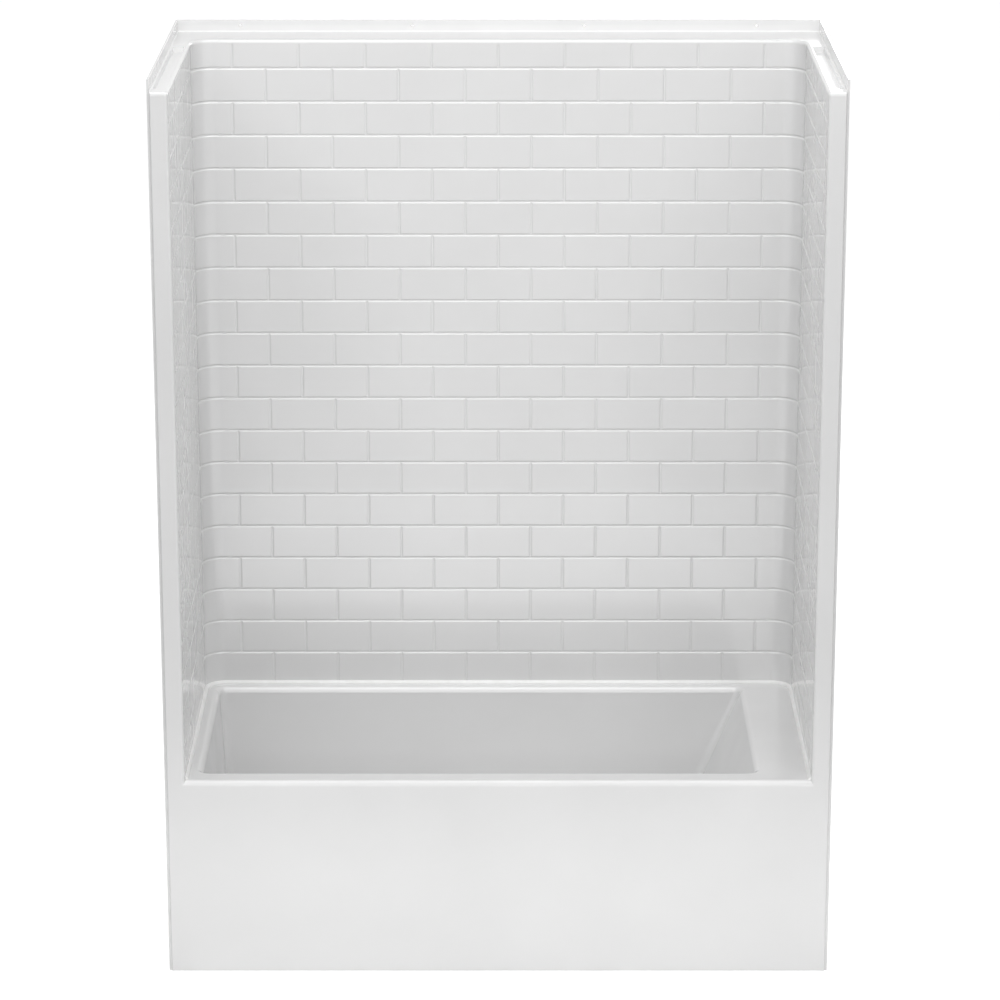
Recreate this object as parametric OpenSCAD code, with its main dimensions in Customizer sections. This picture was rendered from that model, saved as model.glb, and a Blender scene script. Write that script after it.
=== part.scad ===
// Alcove bath and shower unit. A tub section with an integral apron carries three
// moulded tile-pattern wall sections, bolted through their hidden flanges. Timber
// stiffeners back the mouldings, and a waste and overflow hangs at the left end.
// +X is right, +Y is back, +Z is up. The origin is on the floor at the middle.

/* [Unit] */
// Width over the nailing flanges at the top
unit_w = 1524; // [1500:1:1560]
// Depth from the apron face to the back of the nailing flange
unit_d = 850; // [830:1:880]
// Height of the top ledge above the floor
ledge_h = 2036; // [1900:1:2100]
// Height of the tub deck above the floor
deck_h = 461; // [430:1:490]
// Lean of each end wall, wider at the top
lean = 0.2; // [0.1:0.05:0.3]

/* [Moulding] */
// Thickness of the moulded skin
skin = 5; // [4:0.5:6]
// Width of each end ledge, from the end wall's face at the deck outwards
end_ledge_w = 52.5; // [50:0.5:60]
// Depth of the back ledge, from the back wall's face to the nailing flange's back
back_ledge_w = 127.5; // [115:0.5:140]
// Radius of the two rear coves
cove_r = 50; // [40:1:60]
// Radius of the bent front edge of each jamb
jamb_r = 8; // [7:0.5:12]
// Radius of the rounded front edge of the tub
apron_r = 13; // [10:1:20]
// Set-back of the nailing flange behind and beside the jamb face
joggle = 6; // [4:1:8]
// Depth of the nailing flange that runs down each front edge
front_flange_w = 40; // [30:1:50]
// Height of the nailing flange above the top ledge
flange_up = 28; // [20:1:35]
// Depth of the nailing flange below the top ledge
flange_down = 30; // [20:1:40]
// Height of the tub's own upstand behind the wall sections
upstand_h = 28; // [20:1:40]
// Depth of the foot flange at the bottom of the apron
apron_foot_w = 36; // [30:1:45]

/* [Tile pattern] */
// Width of one moulded tile
tile_w = 152.4; // [140:0.1:160]
// Height of one moulded tile
tile_h = 76.2; // [70:0.1:80]
// Width of the moulded joint between tiles
joint_w = 3.175; // [2:0.005:4]
// Depth of the moulded joint
joint_depth = 1.5; // [1:0.1:2]

/* [Ledge pocket] */
// Width of the long pocket in the top of each end wall
pocket_w = 27; // [20:1:28]
// Distance from the front to the pocket
pocket_front = 49; // [40:1:60]
// Distance from the back wall's face to the pocket
pocket_back = 100.5; // [95:0.5:200]
// Depth of the pocket
pocket_depth = 12; // [8:1:20]
// Distance from the end wall's face to the pocket
pocket_in = 10; // [9:0.5:11]

/* [Well] */
// Width of the deck beside the steep drain end
drain_deck_w = 34.5; // [30:0.5:45]
// Width of the deck beside the backrest
rest_deck_w = 120.5; // [110:0.5:150]
// Distance from the apron face to the front of the well, at the deck
well_front = 65; // [60:1:75]
// Depth of the deck between the well and the back wall's face
back_deck_w = 35.5; // [32:0.5:50]
// Height of the well floor above the room's floor
well_floor = 100; // [100:1:115]
// Slope of the drain end from upright
drain_slope = 3.6; // [2:0.1:6]
// Slope of the backrest from upright
rest_slope = 23.4; // [18:0.1:26]
// Slope of the front and back of the well from upright
side_slope = 3.5; // [2:0.1:6]
// Radius of the rim where the deck turns into the well
rim_r = 16; // [12:1:22]
// Radius where the well's walls turn into its floor
floor_r = 50; // [40:1:60]
// Radius of the well's upright corners
corner_r = 18; // [14:1:40]

/* [Wall joints] */
// Width of the straight land past each cove, before the seam
seam_land = 12; // [8:1:20]
// Depth of the seam flanges behind the wall face
seam_flange_w = 42; // [36:1:50]
// Width of the foot flanges that stand on the deck
foot_w = 34; // [30:1:36]
// Shank diameter of the joining bolts
bolt_d = 6; // [5:0.5:6]
// Diameter of the holes for the joining bolts
bolt_hole_d = 7; // [6.5:0.5:8]
// Size of the sealant bead at the foot of the walls
bead_r = 7; // [4:0.5:9]
// Bolts along each upright seam
seam_bolts_n = 5; // [4:1:7]

/* [Stiffeners] */
// Thickness of the plywood stiffeners
ply_t = 12; // [9:1:15]
// Thickness of the board under the well
board_t = 18; // [15:1:21]
// Width of the timber battens and posts
batten_w = 38; // [30:1:40]
// Height of the plywood strip behind the apron
apron_ply_h = 330; // [250:1:340]
// Width of the plywood board behind each end wall
end_board_w = 300; // [200:1:350]
// Distance from that board to the deck and to the top ledge
end_board_in = 137.5; // [100:0.5:300]

/* [Nailing holes] */
// Diameter of the nailing holes
nail_d = 5; // [4:0.5:6]
// Spacing of the nailing holes, to suit studs
stud_pitch = 406.4; // [380:0.1:410]
// Distance from the front to the first nailing hole in each end wall's top
end_nail_front = 130; // [90:1:200]
// Distance from the back to the last nailing hole in each end wall's top
end_nail_back = 160; // [60:1:200]
// Spacing of the nailing holes up each front edge
edge_pitch = 400; // [350:1:430]

/* [Waste and overflow] */
// Distance from the drain end of the well, at the deck, to the drain
drain_in = 125; // [115:1:135]
// Radius of the drain hole in the tub
drain_hole_r = 25.5; // [25:0.25:26.5]
// Outer radius of the waste tubes
tube_r = 17.5; // [17:0.05:17.9]
// Outer radius of the outlet, which enters the trap
outlet_r = 19.05; // [18.5:0.05:19.5]
// Radius of the outlet's spigot in the tee
spigot_r = 18.3; // [18:0.05:18.4]
// Bore radius of the outlet
outlet_bore_r = 16.6; // [16:0.05:17]
// Wall of the waste tubes
tube_wall = 1.4; // [1:0.1:2]
// Radial clearance of the tubes in their sockets
tube_gap = 0.25; // [0.15:0.05:0.3]
// Wall of the cast sockets
socket_wall = 3.7; // [3:0.1:4]
// Depth of the waste pipe's middle below the tub's underside
waste_drop = 40; // [38:1:42]
// Distance from the drain end of the well, at the deck, to the overflow tube
overflow_out = 37; // [35:0.5:41]
// Height of the overflow above the floor
overflow_z = 300; // [290:1:310]
// Radius of the overflow hole in the tub
overflow_hole_r = 27; // [26:0.5:28]
// Radius of the overflow plate
plate_r = 38; // [36:0.5:40]
// Thickness of the overflow plate
plate_t = 2.5; // [2:0.25:3]
// Thickness of the rubber gaskets
gasket_t = 3; // [2:0.5:3.5]
// Height of the slip nuts
nut_h = 18; // [15:1:20]
// Distance between the overflow plate's screws
plate_screw_pitch = 38; // [36:0.5:40]

/* [Trip lever] */
// Depth of the lever's pivot behind the well's face
pivot_in = 13; // [12:0.5:15]
// Travel of the lever, in degrees
lever_travel = 30; // [20:1:30]
// Radius of the lever's pivot pin
pivot_r = 1.5; // [1.25:0.05:1.6]
// Running clearance of the lever on its pin
pivot_gap = 0.05; // [0.03:0.01:0.08]
// Radius of the lift rod
rod_r = 1.25; // [1:0.05:1.4]
// Radius of the plunger
plunger_r = 15; // [14:0.25:15.5]
// Height of the plunger
plunger_h = 40; // [30:1:45]

/* [Hidden] */
$fn = 64;
// Small overlap that keeps a cut from leaving a film
cut = 1;
flange_top = ledge_h + flange_up;
wall_h = ledge_h - deck_h;
// Width between the end walls at the deck, and depth to the back wall's face
alcove_w = unit_w - 2 * end_ledge_w;
alcove_d = unit_d - back_ledge_w;
// Distance from an end wall's face to the outside of its nailing flange
end_t = (unit_w / 2 - alcove_w / 2 - (flange_top - deck_h) * sin(lean)) / cos(lean);
hw_deck = alcove_w / 2 + end_t;
pocket_len = alcove_d - pocket_back - pocket_front;
well_left = alcove_w / 2 - drain_deck_w;
well_right = alcove_w / 2 - rest_deck_w;
well_back = alcove_d - back_deck_w;
drain_x = well_left - drain_in;
overflow_x = well_left + overflow_out;
// Inner edge of the seam, from the end wall's face towards the middle
seam_x = cove_r + seam_land;
pitch_x = tile_w + joint_w;
pitch_z = tile_h + joint_w;
rows_n = floor(wall_h / pitch_z);
// Length of the pattern from the middle of the back wall to the end of the cove
cove_end = alcove_w / 2 - cove_r + PI * cove_r / 2;
straight_d = alcove_d - cove_r;
bolt_head_r = 5.5;
bolt_head_h = 4;
bolt_len = 18;
nut_r = 5.5;
nut_t = 5;
washer_r = 9;
washer_t = 1.6;
grip = 2 * skin + washer_t;
seam_bolt_y = alcove_d + (skin + seam_flange_w) / 2;
seam_bolt_z0 = 150;
seam_bolt_step = (wall_h - 2 * seam_bolt_z0) / (seam_bolts_n - 1);
deck_bolt_in = (skin + foot_w) / 2;
end_bolts_n = 3;
end_bolt_front = 160;
end_bolt_back = 92.5;
end_bolt_step = (alcove_d - end_bolt_front - end_bolt_back) / (end_bolts_n - 1);
back_bolts_n = 4;
back_bolt_in = 189.5;
back_bolt_step = (alcove_w - 2 * back_bolt_in) / (back_bolts_n - 1);
nail_up = flange_up / 2;
nail_in = 12;
end_pitch = unit_d - end_nail_front - end_nail_back;
tub_nail_z = [70, 370];
edge_nail_y = joggle + front_flange_w - nail_in;
edge_nail_z = 150;
edge_nails_n = 4;
back_nails_n = 4;
// Timber places
rail_w = apron_foot_w - skin - 2;
apron_ply_z = 90;
apron_ply_in = 55;
apron_ply_len = 2 * (hw_deck - joggle - skin - apron_ply_in);
board_under = well_floor - skin - board_t;
well_depth = deck_h - well_floor;
well_mid_y = (well_front + well_back) / 2;
board_in = 75;
board_left = -well_left + board_in;
board_right = well_right - well_depth * tan(rest_slope) - floor_r + 5;
board_front = well_front + board_in;
board_back = well_back - board_in;
board_notch_w = 100;
board_notch_x = -drain_x + board_notch_w / 2;
bearers_n = 4;
bearer_in = 28;
bearer_first = board_notch_x + 2.5 * bearer_in;
bearer_step = (board_right - bearer_in - bearer_first) / (bearers_n - 1);
post_gap = 3;
post_back_y = unit_d - skin - post_gap - batten_w / 2;
back_posts_n = 4;
post_back_in = 149.5;
post_back_step = (alcove_w - 2 * post_back_in) / (back_posts_n - 1);
post_side_gap = 8;
post_left_x = -hw_deck + skin + post_side_gap;
rest_board_out = 60;
rest_board_x = well_right + rest_board_out;
rest_board_in = 71;
rest_board_len = well_back - well_front - 2 * rest_board_in;
wall_batten_in = 309.5;
wall_batten_x = alcove_w / 2 - wall_batten_in;
batten_face_w = 90;
ledge_ply_w = 90;
jamb_batten_w = 26;
jamb_batten_d = 32;
// Steps of the well's rim, floor and corner arcs
rim_steps = 5;
floor_steps = 6;
corner_steps = 6;
corner_least = 6;
// Waste places
tub_under = well_floor - skin;
waste_z = tub_under - waste_drop;
socket_r = tube_r + tube_gap + socket_wall;
drain_y = well_mid_y;
flange_r = 36;
flange_t = 4;
flange_rim = 6;
flange_dish = 1.5;
bar_w = 3;
tail_r = 23.5;
tail_bore_r = 19.5;
tail_len = 32;
tail_gap = 0.5;
shoe_r = tail_r + tail_gap + socket_wall;
shoe_top = tub_under - gasket_t;
shoe_gap = 0.3;
shoe_out = 52;
shoe_plate_t = 4;
socket_depth = 20;
tee_x = -overflow_x;
tee_branch = 44;
tee_bottom = 22;
tee_top = waste_z + tee_branch;
seat_z = 32;
seat_t = 4;
seat_r = 13;
nut_out_r = socket_r + 7;
nut_lip = 3;
nut_gap = 0.3;
washer_gap = 0.1;
tail_end = 2;
arm_right = -drain_x - shoe_out + socket_depth;
arm_left = tee_x + tee_branch - socket_depth;
elbow_drop = 50;
elbow_socket_z = overflow_z - elbow_drop;
head_gap = 2.5;
head_r = overflow_hole_r - head_gap;
head_wall = 3.5;
elbow_face_r = 37;
elbow_face_t = 5;
wall_in_x = -well_left + (deck_h - overflow_z) * tan(drain_slope);
wall_out_x = wall_in_x - skin / cos(drain_slope);
elbow_face_x = wall_out_x - gasket_t - elbow_face_r * tan(drain_slope);
ear_r = head_r - plate_screw_pitch / 2 + 1;
ear_len = 12;
plate_rim = 3;
plate_dome = 12;
weep_w = 16;
weep_h = 4;
weep_up = 8;
screw_r = 2.5;
screw_hole_gap = 0.4;
screw_len = 22;
screw_head_r = screw_r + 2;
screw_head_t = 1.5;
screw_top = 2 * plate_t + 1;
// Lever places
pivot_x = wall_in_x - pivot_in;
rest_tilt = lever_travel / 2;
eye_x = tee_x;
lever_t = 3;
bracket_t = 2;
bracket_gap = 0.6;
bracket_foot_w = 26;
bracket_h = 10;
bracket_in = 3.5;
arm_t = 3.5;
eye_t = 5;
hub_r = 4;
grip_r = 4.5;
grip_w = lever_t + 5;
hook_r = rod_r - 0.15;
eye_slot_w = 2 * hook_r + 0.6;
eye_slot_l = 2 * hook_r + 4;
eye_arm = (pivot_x - eye_x) / cos(rest_tilt);
arm_end = eye_arm + eye_slot_l / 2 + 3;
handle_len = 24;
rod_gap = 1.2;
rod_y = lever_t / 2 + rod_gap + rod_r;
rod_in = 10;
slot_w = 6;
slot_h = 18;
bracket_foot_h = slot_h + 8;
rod_top_z = overflow_z + (pivot_x - eye_x) * tan(rest_tilt);
rod_travel = 2 * (pivot_x - eye_x) * tan(rest_tilt);
seat_clear = 0.4;
plunger_z = seat_z + seat_t + seat_clear + rod_travel;
plunger_wall = 2;
plunger_nose = 3;
plunger_base = 8;
spider_w = 6;

// Frames of reference

module unit_frame() {
    translate([0, -unit_d / 2, 0]) children();
}

// An end wall's own frame: x outwards from its face, y back, z up from the deck
module end_place() {
    translate([alcove_w / 2, 0, deck_h]) rotate([0, lean, 0]) children();
}

module both_ends() {
    end_place() children();
    mirror([1, 0, 0]) end_place() children();
}

module at_end(side) {
    if (side > 0) children();
    else mirror([1, 0, 0]) children();
}

// Shared outlines

module quarter_ring(r, t) {
    intersection() {
        difference() {
            circle(r);
            circle(r - t);
        }
        square([r, r]);
    }
}

// Return, step and nailing flange at the outer front edge of a jamb or the apron
module nailing_edge() {
    translate([end_t - joggle - skin, 0]) square([skin, joggle + skin]);
    translate([end_t - joggle - skin, joggle]) square([joggle + skin, skin]);
    translate([end_t - skin, joggle]) square([skin, front_flange_w]);
}

module nail_hole_x(y, z) {
    translate([end_t - skin - cut, y, z]) rotate([0, 90, 0])
        cylinder(r = nail_d / 2, h = skin + 2 * cut);
}

module nail_hole_y(x, z) {
    translate([x, unit_d + cut, z]) rotate([90, 0, 0])
        cylinder(r = nail_d / 2, h = skin + 2 * cut);
}

module back_nail_holes() {
    for (i = [0 : back_nails_n - 1])
        nail_hole_y((i - (back_nails_n - 1) / 2) * stud_pitch, ledge_h + nail_up);
}

// Tub section

// One side of the well in section: distance inwards and height from the deck's top.
// The rim's arc comes first, then the floor's arc; a straight wall joins them.
function well_side(slope, grow) =
    let (r = rim_r - grow, rf = floor_r + grow, a = slope,
         x0 = -grow / cos(a) + grow * tan(a), z0 = -grow,
         t1 = r * tan((90 - a) / 2), t2 = rf * tan((90 - a) / 2),
         cx = x0 + well_depth * tan(a) + t2, cz = z0 - well_depth + rf)
    concat(
        [for (i = [0 : rim_steps]) let (p = (90 - a) * i / rim_steps)
            [x0 - t1 + r * sin(p), z0 - r + r * cos(p)]],
        [for (i = [0 : floor_steps]) let (p = a + (90 - a) * i / floor_steps)
            [cx - rf * cos(p), cz - rf * sin(p)]]);

function well_corner_r(side, j, grow) =
    let (ref = j <= rim_steps ? side[rim_steps][0] : side[rim_steps + 1][0])
    max(corner_least, corner_r + grow + ref - side[j][0]);

// One ring of the well, counter-clockwise from above
function well_ring(j, grow, lift) =
    let (l = well_side(drain_slope, grow), r = well_side(rest_slope, grow),
         s = well_side(side_slope, grow), q = well_corner_r(s, j, grow),
         x1 = -well_left + l[j][0] + q, x2 = well_right - r[j][0] - q,
         y1 = well_front + s[j][0] + q, y2 = well_back - s[j][0] - q)
    [for (c = [0 : 3]) for (i = [0 : corner_steps])
        let (a = 90 * (c + i / corner_steps),
             x = c == 0 || c == 3 ? x2 : x1, y = c < 2 ? y2 : y1,
             zx = c == 0 || c == 3 ? r[j][1] : l[j][1],
             w = pow(cos(a), 2))
        [x + q * cos(a), y + q * sin(a), deck_h + zx * w + s[j][1] * (1 - w) + lift]];

module well_solid(grow, lift) {
    n = 4 * (corner_steps + 1);
    last = rim_steps + floor_steps + 1;
    rings = concat([well_ring(0, grow, lift)], [for (j = [0 : last]) well_ring(j, grow, 0)]);
    points = [for (ring = rings) for (p = ring) p];
    sides = [for (j = [0 : last]) for (i = [0 : n - 1]) let (k = (i + 1) % n)
        each [[j * n + i, j * n + k, (j + 1) * n + k],
              [j * n + i, (j + 1) * n + k, (j + 1) * n + i]]];
    caps = [[for (i = [n - 1 : -1 : 0]) i], [for (i = [0 : n - 1]) (last + 1) * n + i]];
    polyhedron(points, concat(sides, caps), convexity = 6);
}

// Section through the apron, deck and back upstand: x is depth, y is height
module tub_outline() {
    square([skin, deck_h - apron_r]);
    square([apron_foot_w, skin]);
    translate([apron_r, deck_h - apron_r]) rotate(90) quarter_ring(apron_r, skin);
    translate([apron_r, deck_h - skin]) square([unit_d - apron_r, skin]);
    translate([unit_d - skin, deck_h - skin]) square([skin, skin + upstand_h]);
}

// Foot of each jamb: its plan carried down through the rounded front edge, flush with the apron
module jamb_feet() {
    for (side = [-1, 1]) at_end(side) translate([alcove_w / 2, 0, deck_h - apron_r])
        linear_extrude(apron_r) difference() {
            square([end_t, apron_r + skin]);
            difference() {
                square(jamb_r);
                translate([jamb_r, jamb_r]) circle(jamb_r);
            }
        }
}

module deck_bolt_places() {
    for (s = [-1, 1]) for (i = [0 : end_bolts_n - 1])
        translate([s * (alcove_w / 2 + deck_bolt_in), end_bolt_front + i * end_bolt_step, deck_h])
            children();
    for (i = [0 : back_bolts_n - 1])
        translate([back_bolt_in + i * back_bolt_step - alcove_w / 2, alcove_d + deck_bolt_in, deck_h])
            children();
}

module tub_section() {
    color("white") unit_frame() difference() {
        union() {
            difference() {
                union() {
                    rotate([90, 0, 90]) linear_extrude(2 * hw_deck, center = true) tub_outline();
                    jamb_feet();
                }
                both_ends() {
                    translate([end_t - joggle, -cut, -deck_h - skin])
                        cube([unit_w, joggle + cut, 2 * deck_h]);
                    translate([end_t, -cut, -deck_h - skin]) cube([unit_w, 2 * unit_d, 2 * deck_h]);
                }
            }
            difference() {
                both_ends() {
                    translate([0, 0, -deck_h - skin])
                        linear_extrude(deck_h + skin / 2) nailing_edge();
                    translate([end_t - skin, joggle + front_flange_w + skin, -skin / 2])
                        cube([skin, unit_d - joggle - front_flange_w - skin, skin / 2 + upstand_h]);
                }
                translate([-unit_w, -unit_d, -unit_d]) cube([2 * unit_w, 3 * unit_d, unit_d]);
            }
            well_solid(skin, skin / 2);
        }
        well_solid(0, cut);
        translate([-drain_x, drain_y, 0]) cylinder(r = drain_hole_r, h = well_floor + cut);
        translate([-hw_deck, drain_y, overflow_z]) rotate([0, 90, 0])
            cylinder(r = overflow_hole_r, h = hw_deck - drain_x);
        deck_bolt_places() translate([0, 0, -skin - cut])
            cylinder(r = bolt_hole_d / 2, h = skin + 2 * cut);
        both_ends() for (z = tub_nail_z) nail_hole_x(edge_nail_y, z - deck_h);
    }
}

// Wall sections

// Joints of one row of tiles sit at whole pitches or half pitches from the middle
function row_shift(row) = row % 2 == 0 ? 0.5 : 0;

// Depth from the front at which the k-th joint of a row falls on an end wall
function end_joint_y(k, row) = straight_d + cove_end - (k + row_shift(row)) * pitch_x;

module back_joints() {
    for (row = [1 : rows_n])
        translate([-alcove_w / 2, alcove_d - cut, row * pitch_z - joint_w / 2])
            cube([alcove_w, cut + joint_depth, joint_w]);
    for (row = [0 : rows_n])
        for (k = [-ceil(alcove_w / pitch_x / 2) : ceil(alcove_w / pitch_x / 2)])
            translate([(k + row_shift(row)) * pitch_x - joint_w / 2, alcove_d - cut, row * pitch_z])
                cube([joint_w, cut + joint_depth, min(pitch_z, wall_h - row * pitch_z + cut)]);
}

module end_joints() {
    for (row = [1 : rows_n]) translate([0, 0, row * pitch_z - joint_w / 2]) {
        translate([-cut, -cut, 0]) cube([cut + joint_depth, straight_d + cut, joint_w]);
        translate([-cove_r, straight_d, 0]) linear_extrude(joint_w)
            quarter_ring(cove_r + joint_depth, cut + joint_depth);
        translate([-seam_x - cut, alcove_d - cut, 0])
            cube([seam_land + cut, cut + joint_depth, joint_w]);
    }
    for (row = [0 : rows_n]) for (k = [0 : ceil((cove_end + alcove_d) / pitch_x)])
        if (end_joint_y(k, row) > 2 * jamb_r && end_joint_y(k, row) < straight_d - joint_w)
            translate([-cut, end_joint_y(k, row) - joint_w / 2, row * pitch_z])
                cube([cut + joint_depth, joint_w, min(pitch_z, wall_h - row * pitch_z + cut)]);
}

module back_wall() {
    color("white") unit_frame() difference() {
        union() {
            translate([-alcove_w / 2, alcove_d, deck_h]) cube([alcove_w, skin, wall_h]);
            translate([-alcove_w / 2, alcove_d, ledge_h - skin])
                cube([alcove_w, unit_d - alcove_d, skin]);
            translate([-alcove_w / 2, unit_d - skin, ledge_h - flange_down])
                cube([alcove_w, skin, flange_down + flange_up]);
            translate([-alcove_w / 2, alcove_d, deck_h]) cube([alcove_w, foot_w, skin]);
            intersection() {
                both_ends() translate([-seam_x - skin, alcove_d, -skin])
                    cube([skin, seam_flange_w, wall_h + skin - skin / 2]);
                translate([-alcove_w / 2, alcove_d, deck_h]) cube([alcove_w, unit_d, wall_h]);
            }
        }
        both_ends() translate([-seam_x, 0, -deck_h]) cube([unit_w, 2 * unit_d, 2 * ledge_h]);
        translate([0, 0, deck_h]) back_joints();
        both_ends() seam_bolt_places() translate([-seam_x - skin - cut, 0, 0]) rotate([0, 90, 0])
            cylinder(r = bolt_hole_d / 2, h = skin + 2 * cut);
        deck_bolt_places() translate([0, 0, -cut]) cylinder(r = bolt_hole_d / 2, h = skin + 2 * cut);
        back_nail_holes();
    }
}

module seam_bolt_places() {
    for (i = [0 : seam_bolts_n - 1])
        translate([0, seam_bolt_y, seam_bolt_z0 + i * seam_bolt_step]) children();
}

// Plan of an end wall's upright skin
module end_outline() {
    translate([0, jamb_r]) square([skin, straight_d - jamb_r]);
    translate([jamb_r, jamb_r]) rotate(180) quarter_ring(jamb_r, skin);
    translate([jamb_r, 0]) square([end_t - joggle - jamb_r, skin]);
    nailing_edge();
    translate([-cove_r, straight_d]) quarter_ring(cove_r + skin, skin);
    translate([-seam_x, alcove_d]) square([seam_land, skin]);
    translate([-seam_x, alcove_d]) square([skin, seam_flange_w]);
}

// Plan of an end wall's top ledge, with the cove and the jamb's bend cut out
module ledge_outline() {
    difference() {
        union() {
            square([end_t, unit_d]);
            translate([-seam_x, straight_d]) square([seam_x + end_t, unit_d - straight_d]);
        }
        translate([-cove_r, straight_d]) circle(cove_r);
        translate([-seam_x - cut, straight_d - cut]) square([seam_land + cut, cove_r + cut]);
        difference() {
            translate([-cut, -cut]) square([jamb_r + cut, jamb_r + cut]);
            translate([jamb_r, jamb_r]) circle(jamb_r);
        }
        translate([end_t - joggle, -cut]) square([joggle + cut, joggle + cut]);
    }
}

module foot_outline() {
    translate([1, skin]) square([foot_w - 1, straight_d - skin]);
    translate([-cove_r, straight_d]) quarter_ring(cove_r + foot_w, foot_w - 1);
    translate([-seam_x, alcove_d + 1]) square([seam_land, foot_w - 1]);
}

module end_wall() {
    unit_frame() difference() {
        union() {
            end_place() {
                translate([0, 0, -skin]) linear_extrude(wall_h + skin / 2) end_outline();
                translate([0, 0, wall_h - skin]) linear_extrude(skin) ledge_outline();
                translate([end_t - skin, joggle, wall_h - flange_down])
                    cube([skin, unit_d - joggle, flange_down + flange_up]);
                translate([-seam_x, unit_d - skin, wall_h - flange_down])
                    cube([seam_x + end_t, skin, flange_down + flange_up]);
                translate([pocket_in - skin, pocket_front - skin, wall_h - pocket_depth - skin])
                    cube([pocket_w + 2 * skin, pocket_len + 2 * skin, pocket_depth + skin / 2]);
            }
            translate([alcove_w / 2, 0, deck_h]) linear_extrude(skin) foot_outline();
        }
        end_place() {
            translate([pocket_in, pocket_front, wall_h - pocket_depth])
                cube([pocket_w, pocket_len, pocket_depth + cut]);
            end_joints();
            seam_bolt_places() translate([-seam_x - cut, 0, 0]) rotate([0, 90, 0])
                cylinder(r = bolt_hole_d / 2, h = skin + 2 * cut);
            for (i = [0, 1]) nail_hole_x(end_nail_front + i * end_pitch, wall_h + nail_up);
            for (i = [0 : edge_nails_n - 1])
                nail_hole_x(edge_nail_y, edge_nail_z + i * edge_pitch);
        }
        deck_bolt_places() translate([0, 0, -cut]) cylinder(r = bolt_hole_d / 2, h = skin + 2 * cut);
        translate([-unit_w, -unit_d, deck_h - 2 * skin]) cube([2 * unit_w, 3 * unit_d, 2 * skin]);
    }
}

module right_wall() {
    color("white") at_end(1) end_wall();
}

module left_wall() {
    color("white") at_end(-1) end_wall();
}

// Sealant bead in the angle between the walls and the deck
module bead_outline() {
    intersection() {
        circle(bead_r);
        square([bead_r, bead_r]);
    }
}

module deck_sealant() {
    color("ghostwhite") unit_frame() translate([0, 0, deck_h]) {
        for (s = [-1, 1]) translate([s * alcove_w / 2, straight_d, 0]) rotate([90, 0, 0])
            linear_extrude(straight_d - jamb_r) mirror([s > 0 ? 1 : 0, 0, 0]) bead_outline();
        translate([0, alcove_d, 0]) rotate([90, 0, -90])
            linear_extrude(alcove_w - 2 * cove_r, center = true) bead_outline();
        for (s = [0, 1]) mirror([s, 0, 0]) translate([alcove_w / 2 - cove_r, straight_d, 0])
            rotate_extrude(angle = 90) translate([cove_r, 0]) mirror([1, 0]) bead_outline();
    }
}

// Joining bolts, nuts and washers, each drawn along its own +Z with the joint at 0

module hex_bolt() {
    cylinder(r = bolt_d / 2, h = bolt_len);
    translate([0, 0, -bolt_head_h]) cylinder(r = bolt_head_r, h = bolt_head_h, $fn = 6);
}

module hex_nut() {
    difference() {
        cylinder(r = nut_r, h = nut_t, $fn = 6);
        translate([0, 0, -cut]) cylinder(r = bolt_d / 2, h = nut_t + 2 * cut);
    }
}

module flat_washer() {
    difference() {
        cylinder(r = washer_r, h = washer_t);
        translate([0, 0, -cut]) cylinder(r = bolt_hole_d / 2, h = washer_t + 2 * cut);
    }
}

// The seam's bolts point towards the middle of the unit, from the end wall's flange
module on_seam(depth) {
    unit_frame() both_ends() seam_bolt_places()
        translate([-seam_x + skin + washer_t - depth, 0, 0]) rotate([0, -90, 0]) children();
}

// The deck's bolts point down through the foot flange and the deck
module on_deck(depth) {
    unit_frame() deck_bolt_places()
        translate([0, 0, skin + washer_t - depth]) rotate([180, 0, 0]) children();
}

module seam_bolts() {
    color("silver") on_seam(0) hex_bolt();
}

module seam_nuts() {
    color("silver") on_seam(grip + washer_t) hex_nut();
}

module seam_washers() {
    color("silver") {
        on_seam(0) flat_washer();
        on_seam(grip) flat_washer();
    }
}

module deck_bolts() {
    color("silver") on_deck(0) hex_bolt();
}

module deck_nuts() {
    color("silver") on_deck(grip + washer_t) hex_nut();
}

module deck_washers() {
    color("silver") {
        on_deck(0) flat_washer();
        on_deck(grip) flat_washer();
    }
}

// Stiffeners of the tub section

module apron_stiffener() {
    color("burlywood") unit_frame() translate([-apron_ply_len / 2, skin, apron_ply_z])
        cube([apron_ply_len, ply_t, apron_ply_h]);
}

module apron_rail() {
    color("tan") unit_frame() translate([-apron_ply_len / 2, skin, skin])
        cube([apron_ply_len, rail_w, batten_w]);
}

module floor_board() {
    color("burlywood") unit_frame() difference() {
        translate([board_left, board_front, board_under])
            cube([board_right - board_left, board_back - board_front, board_t]);
        translate([board_left - cut, drain_y - board_notch_w / 2, board_under - cut])
            cube([board_notch_x - board_left + cut, board_notch_w, board_t + 2 * cut]);
    }
}

module floor_bearers() {
    color("tan") unit_frame() for (i = [0 : bearers_n - 1])
        translate([bearer_first + i * bearer_step - batten_w / 2, board_front, 0])
            cube([batten_w, board_back - board_front, board_under]);
}

module back_deck_posts() {
    color("tan") unit_frame() for (i = [0 : back_posts_n - 1])
        translate([post_back_in + i * post_back_step - (alcove_w + batten_w) / 2,
                   post_back_y - batten_w / 2, 0])
            cube([batten_w, batten_w, deck_h - skin]);
}

module left_deck_posts() {
    color("tan") unit_frame() for (i = [0 : end_bolts_n - 2])
        translate([post_left_x, end_bolt_front + (i + 0.5) * end_bolt_step - batten_w, 0])
            cube([batten_w, 2 * batten_w, deck_h - skin]);
}

module backrest_board() {
    color("burlywood") unit_frame()
        translate([rest_board_x, well_mid_y - rest_board_len / 2, 0])
            cube([board_t, rest_board_len, deck_h - skin]);
}

// Stiffeners of the wall sections

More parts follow.
